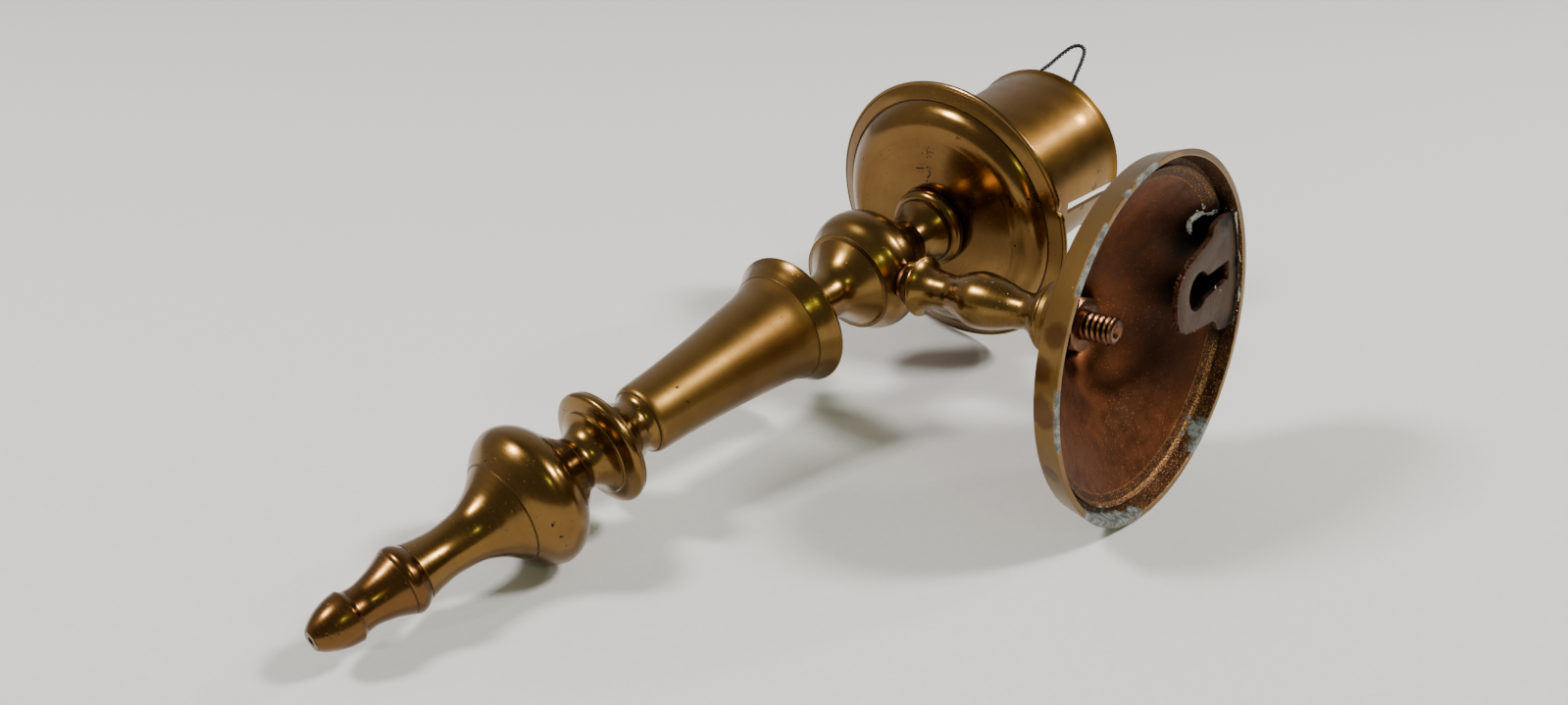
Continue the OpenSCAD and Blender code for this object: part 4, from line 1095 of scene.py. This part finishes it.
# Drop: eight turned pieces threaded on the tie rod under the ball, one above the other.
TIE_R = 2.15
funnel_runs = [
    [(TIE_R, 0), (7.6, 0)],
    [(7.6, 0), (7.15, 1.06), (6.4, 2.5), (5.94, 4.7), (5.8, 8.5), (5.8, 12.9), (6.15, 15.0),
     (7.2, 17.0), (8.85, 19.0), (10.8, 20.9)],
    [(11.55, 21.2), (TIE_R, 21.2)],
    [(TIE_R, 21.2), (TIE_R, 0)],
]
lip_runs = [
    [(TIE_R, 0), (12.7, 0)],
    [(12.7, 0), (13.2, 0.98), (13.8, 2.06), (14.4, 3.14), (15.04, 4.07)],
    [(15.24, 4.25), (15.3, 4.45), (15.17, 4.77), (14.85, 4.9)],
    [(14.4, 4.9), (13.1, 4.1), (9.2, 3.3)],
    [(TIE_R, 3.3), (TIE_R, 0)],
]
cone_runs = [
    [(TIE_R, 0), (6.75, 0)],
    [(6.8, 0.05), (7.25, 0.4), (7.55, 1.2), (7.95, 8.4), (9.0, 20.4), (10.4, 31.3), (11.5, 38.6), (12.6, 42.0)],
    [(TIE_R, 42.0), (TIE_R, 0)],
]
collar_runs = [
    [(TIE_R, 0), (6.39, 0)],
    [(6.39, 0), (5.85, 1.63), (6.09, 3.08), (6.9, 4.4), (7.9, 5.2), (8.94, 5.7)],
    [(8.94, 5.7), (8.9, 6.0), (9.15, 6.3)],
    [(9.15, 6.3), (10.4, 6.6), (11.5, 7.0), (12.05, 7.4), (12.25, 8.0), (12.1, 8.7), (11.85, 9.05)],
    [(11.75, 9.05), (11.85, 9.3), (11.7, 9.55), (11.4, 9.65)],
    [(11.3, 9.6), (10.2, 10.2), (8.5, 11.45), (7.15, 13.1), (6.3, 14.8), (5.9, 16.2), (6.15, 17.3), (6.75, 18.1)],
    [(TIE_R, 18.1), (TIE_R, 0)],
]
bulb_runs = [
    [(TIE_R, 0), (10.45, 0)],
    [(10.45, 0), (12.8, 2.16), (14.2, 4.2), (14.7, 6.0), (14.26, 8.14), (12.93, 10.18), (10.54, 12.22),
     (8.42, 14.16), (6.38, 16.2)],
    [(TIE_R, 16.2), (TIE_R, 0)],
]
foot_runs = [
    [(TIE_R, 0), (5.74, 0)],
    [(5.74, 0), (5.08, 3.5), (4.8, 6.6), (5.19, 10.7), (5.74, 12.8), (7.28, 15.8), (8.76, 17.7), (10.3, 19.5)],
    [(TIE_R, 19.5), (TIE_R, 0)],
]
tip_bead_runs = [
    [(TIE_R, 0), (6.21, 0)],
    [(6.21, 0), (6.62, 0.56), (6.75, 1.26), (6.56, 2.1), (6.0, 3.0), (5.67, 3.5)],
    [(TIE_R, 3.5), (TIE_R, 0)],
]
tip_runs = [
    [(0, 4.0), (0.8, 4.0)],
    [(0.8, 0), (2.0, 0)],
    [(2.0, 0), (2.9, 1.0), (4.04, 3.0), (4.7, 5.0), (5.0, 7.2)],
    [(4.25, 8.1), (4.1, 10.1), (4.4, 11.8), (5.1, 14.1), (6.33, 16.8)],
    [(TIE_R, 16.8), (TIE_R, 8.0)],
    [(TIE_R, 8.0), (0, 8.0)],
]
drop = [
    ("funnel", "trumpet_funnel", funnel_runs, [(11.5, 21.0), (7.6, 0)], True),
    ("cone_lip", "flared_lip", lip_runs, [(12.7, 0), (9.0, 3.3)], True),
    ("cone", "long_cone", cone_runs, [(6.8, 0.05), (12.6, 42.0)], True),
    ("collar", "waisted_collar", collar_runs, [(6.39, 0), (8.9, 6.0), (11.78, 9.08), (6.75, 18.1)], True),
    ("vase_bulb", "bulb_of_vase", bulb_runs, [(10.45, 0), (6.38, 16.2)], True),
    ("vase_foot", "foot_of_vase", foot_runs, [(10.3, 19.5), (5.74, 0)], True),
    ("tip_bead", "small_bead", tip_bead_runs, [(6.21, 0), (5.67, 3.5)], True),
    ("tip", "drilled_tip", tip_runs, [(0.8, 0), (4.5, 7.8), (6.33, 16.8)], False),
]
tip_brass = brass(
    "tip_brass", STEM, UP, satin=0.2, tarnish=1.2, pits=0.7, gold=rgb(0.155, 0.074, 0.020), marks=DENTS[7:9]
)
cone_brass = brass("cone_brass", STEM, UP, satin=0.33, tarnish=0.5, marks=DENTS[9:11])
finishes = {"cone": cone_brass, "tip_bead": tip_brass, "tip": tip_brass}
for node_name, name, runs, dark, closed in drop:
    bm = turned(runs, on_stem(node_name), UP, dark=dark, closed=closed)
    made(bm, name, [finishes.get(node_name, stem_brass)], "stem", node_name)


# Cloth: the pale floor that the sconce lies on, touching the plate's rim, the pan and the vase.
# Its far side lets light and view through, so that the sconce shows from there too.
cloth_up = Vector((1, 0.11, 0.148)).normalized()
lowest = min(
    cloth_up.dot(v.co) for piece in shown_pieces() if piece.type == "MESH" for v in piece.data.vertices
)
CLOTH_HALF = 3.0
cloth_bm = bmesh.new()
facing = cloth_up.to_track_quat("Z", "Y").to_matrix().to_4x4()
bmesh.ops.create_grid(
    cloth_bm, x_segments=1, y_segments=1, size=CLOTH_HALF,
    matrix=Matrix.Translation(cloth_up * (lowest - 0.0001)) @ facing
)
cloth_mesh = bpy.data.meshes.new("cloth")
cloth_bm.to_mesh(cloth_mesh)
cloth_bm.free()
cloth = bpy.data.objects.new("cloth", cloth_mesh)
bpy.context.scene.collection.objects.link(cloth)
white, tree, shader, place = fresh_material("white_cloth")
weave = cloudy(tree, place, 900.0, 2.0, 0.5)
tree.links.new(mixed(tree, weave, rgb(0.70, 0.70, 0.69), rgb(0.78, 0.78, 0.77)), shader.inputs["Base Color"])
shader.inputs["Roughness"].default_value = 0.9
shader.inputs["Specular IOR Level"].default_value = 0.1
behind = add(tree, "NewGeometry").outputs["Backfacing"]
clear = add(tree, "BsdfTransparent").outputs[0]
both = add(tree, "MixShader", {0: behind, 1: shader.outputs[0], 2: clear}).outputs[0]
tree.links.new(both, tree.nodes["Material Output"].inputs["Surface"])
cloth_mesh.materials.append(white)
cloth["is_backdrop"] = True


# Light: a pale room that is darker to the right, one soft lamp over each shoulder, a small bare
# bulb far to the right and a faint greenish glow from behind the camera.
def seen_from_camera(right, up, back):
    """A direction given as a photographer would: right, up and back towards the camera."""
    return look_right * right - look_down * up - look_ahead * back


world = bpy.data.worlds.new("room")
world.use_nodes = True
bpy.context.scene.world = world
room = world.node_tree
toward = add(room, "TexCoord").outputs["Generated"]


def within(direction, reach, least):
    """1 in a direction of the room, falling to 0 at reach from it, and 1 minus least there."""
    closeness = add(room, "VectorMath", {0: toward, 1: direction.normalized()}, operation="DOT_PRODUCT")
    return spread(room, closeness.outputs["Value"], math.cos(reach), 1.0, 0.0, least)


height = add(room, "VectorMath", {0: toward, 1: cloth_up}, operation="DOT_PRODUCT").outputs["Value"]
ceiling = mixed(room, spread(room, height, -0.1, 0.9), rgb(0.200, 0.189, 0.171), rgb(0.190, 0.185, 0.172))
dark_corner = within(seen_from_camera(0.93, 0.12, -0.26), math.radians(55), 1.0)
ceiling = mixed(room, dark_corner, ceiling, rgb(0.022, 0.018, 0.015))
pale_wall = within(seen_from_camera(-0.2, 0.72, -0.66), math.radians(55), 0.8)
ceiling = mixed(room, pale_wall, ceiling, rgb(0.86, 0.86, 0.85))
left_wall = within(seen_from_camera(-0.95, 0.25, 0.05), math.radians(42), 0.8)
ceiling = mixed(room, left_wall, ceiling, rgb(0.58, 0.54, 0.47))
room.links.new(ceiling, room.nodes["Background"].inputs["Color"])
room.nodes["Background"].inputs["Strength"].default_value = 1.0
middle = Vector((0, -0.05, -0.03))


def lamp(name, toward, distance, size, power, colour):
    """A square soft lamp in the direction toward, facing the sconce."""
    data = bpy.data.lights.new(name, "AREA")
    data.size = size
    data.energy = power
    data.color = colour
    thing = bpy.data.objects.new(name, data)
    bpy.context.scene.collection.objects.link(thing)
    place = middle + toward.normalized() * distance
    thing.matrix_world = Matrix.Translation(place) @ toward.to_track_quat("Z", "Y").to_matrix().to_4x4()


lamp("left_lamp", seen_from_camera(-0.65, 0.62, 0.43), 1.4, 0.24, 17.6, (1.0, 0.97, 0.92))
lamp("right_lamp", seen_from_camera(0.657, 0.643, 0.395), 1.4, 0.24, 18.6, (1.0, 0.97, 0.92))
lamp("bare_bulb", seen_from_camera(0.788, 0.615, -0.024), 1.48, 0.10, 3.2, (1.0, 0.95, 0.84))
lamp("garden_glow", seen_from_camera(0.30, 0.21, 0.93), 1.3, 0.095, 1.15, (0.74, 1.0, 0.26))
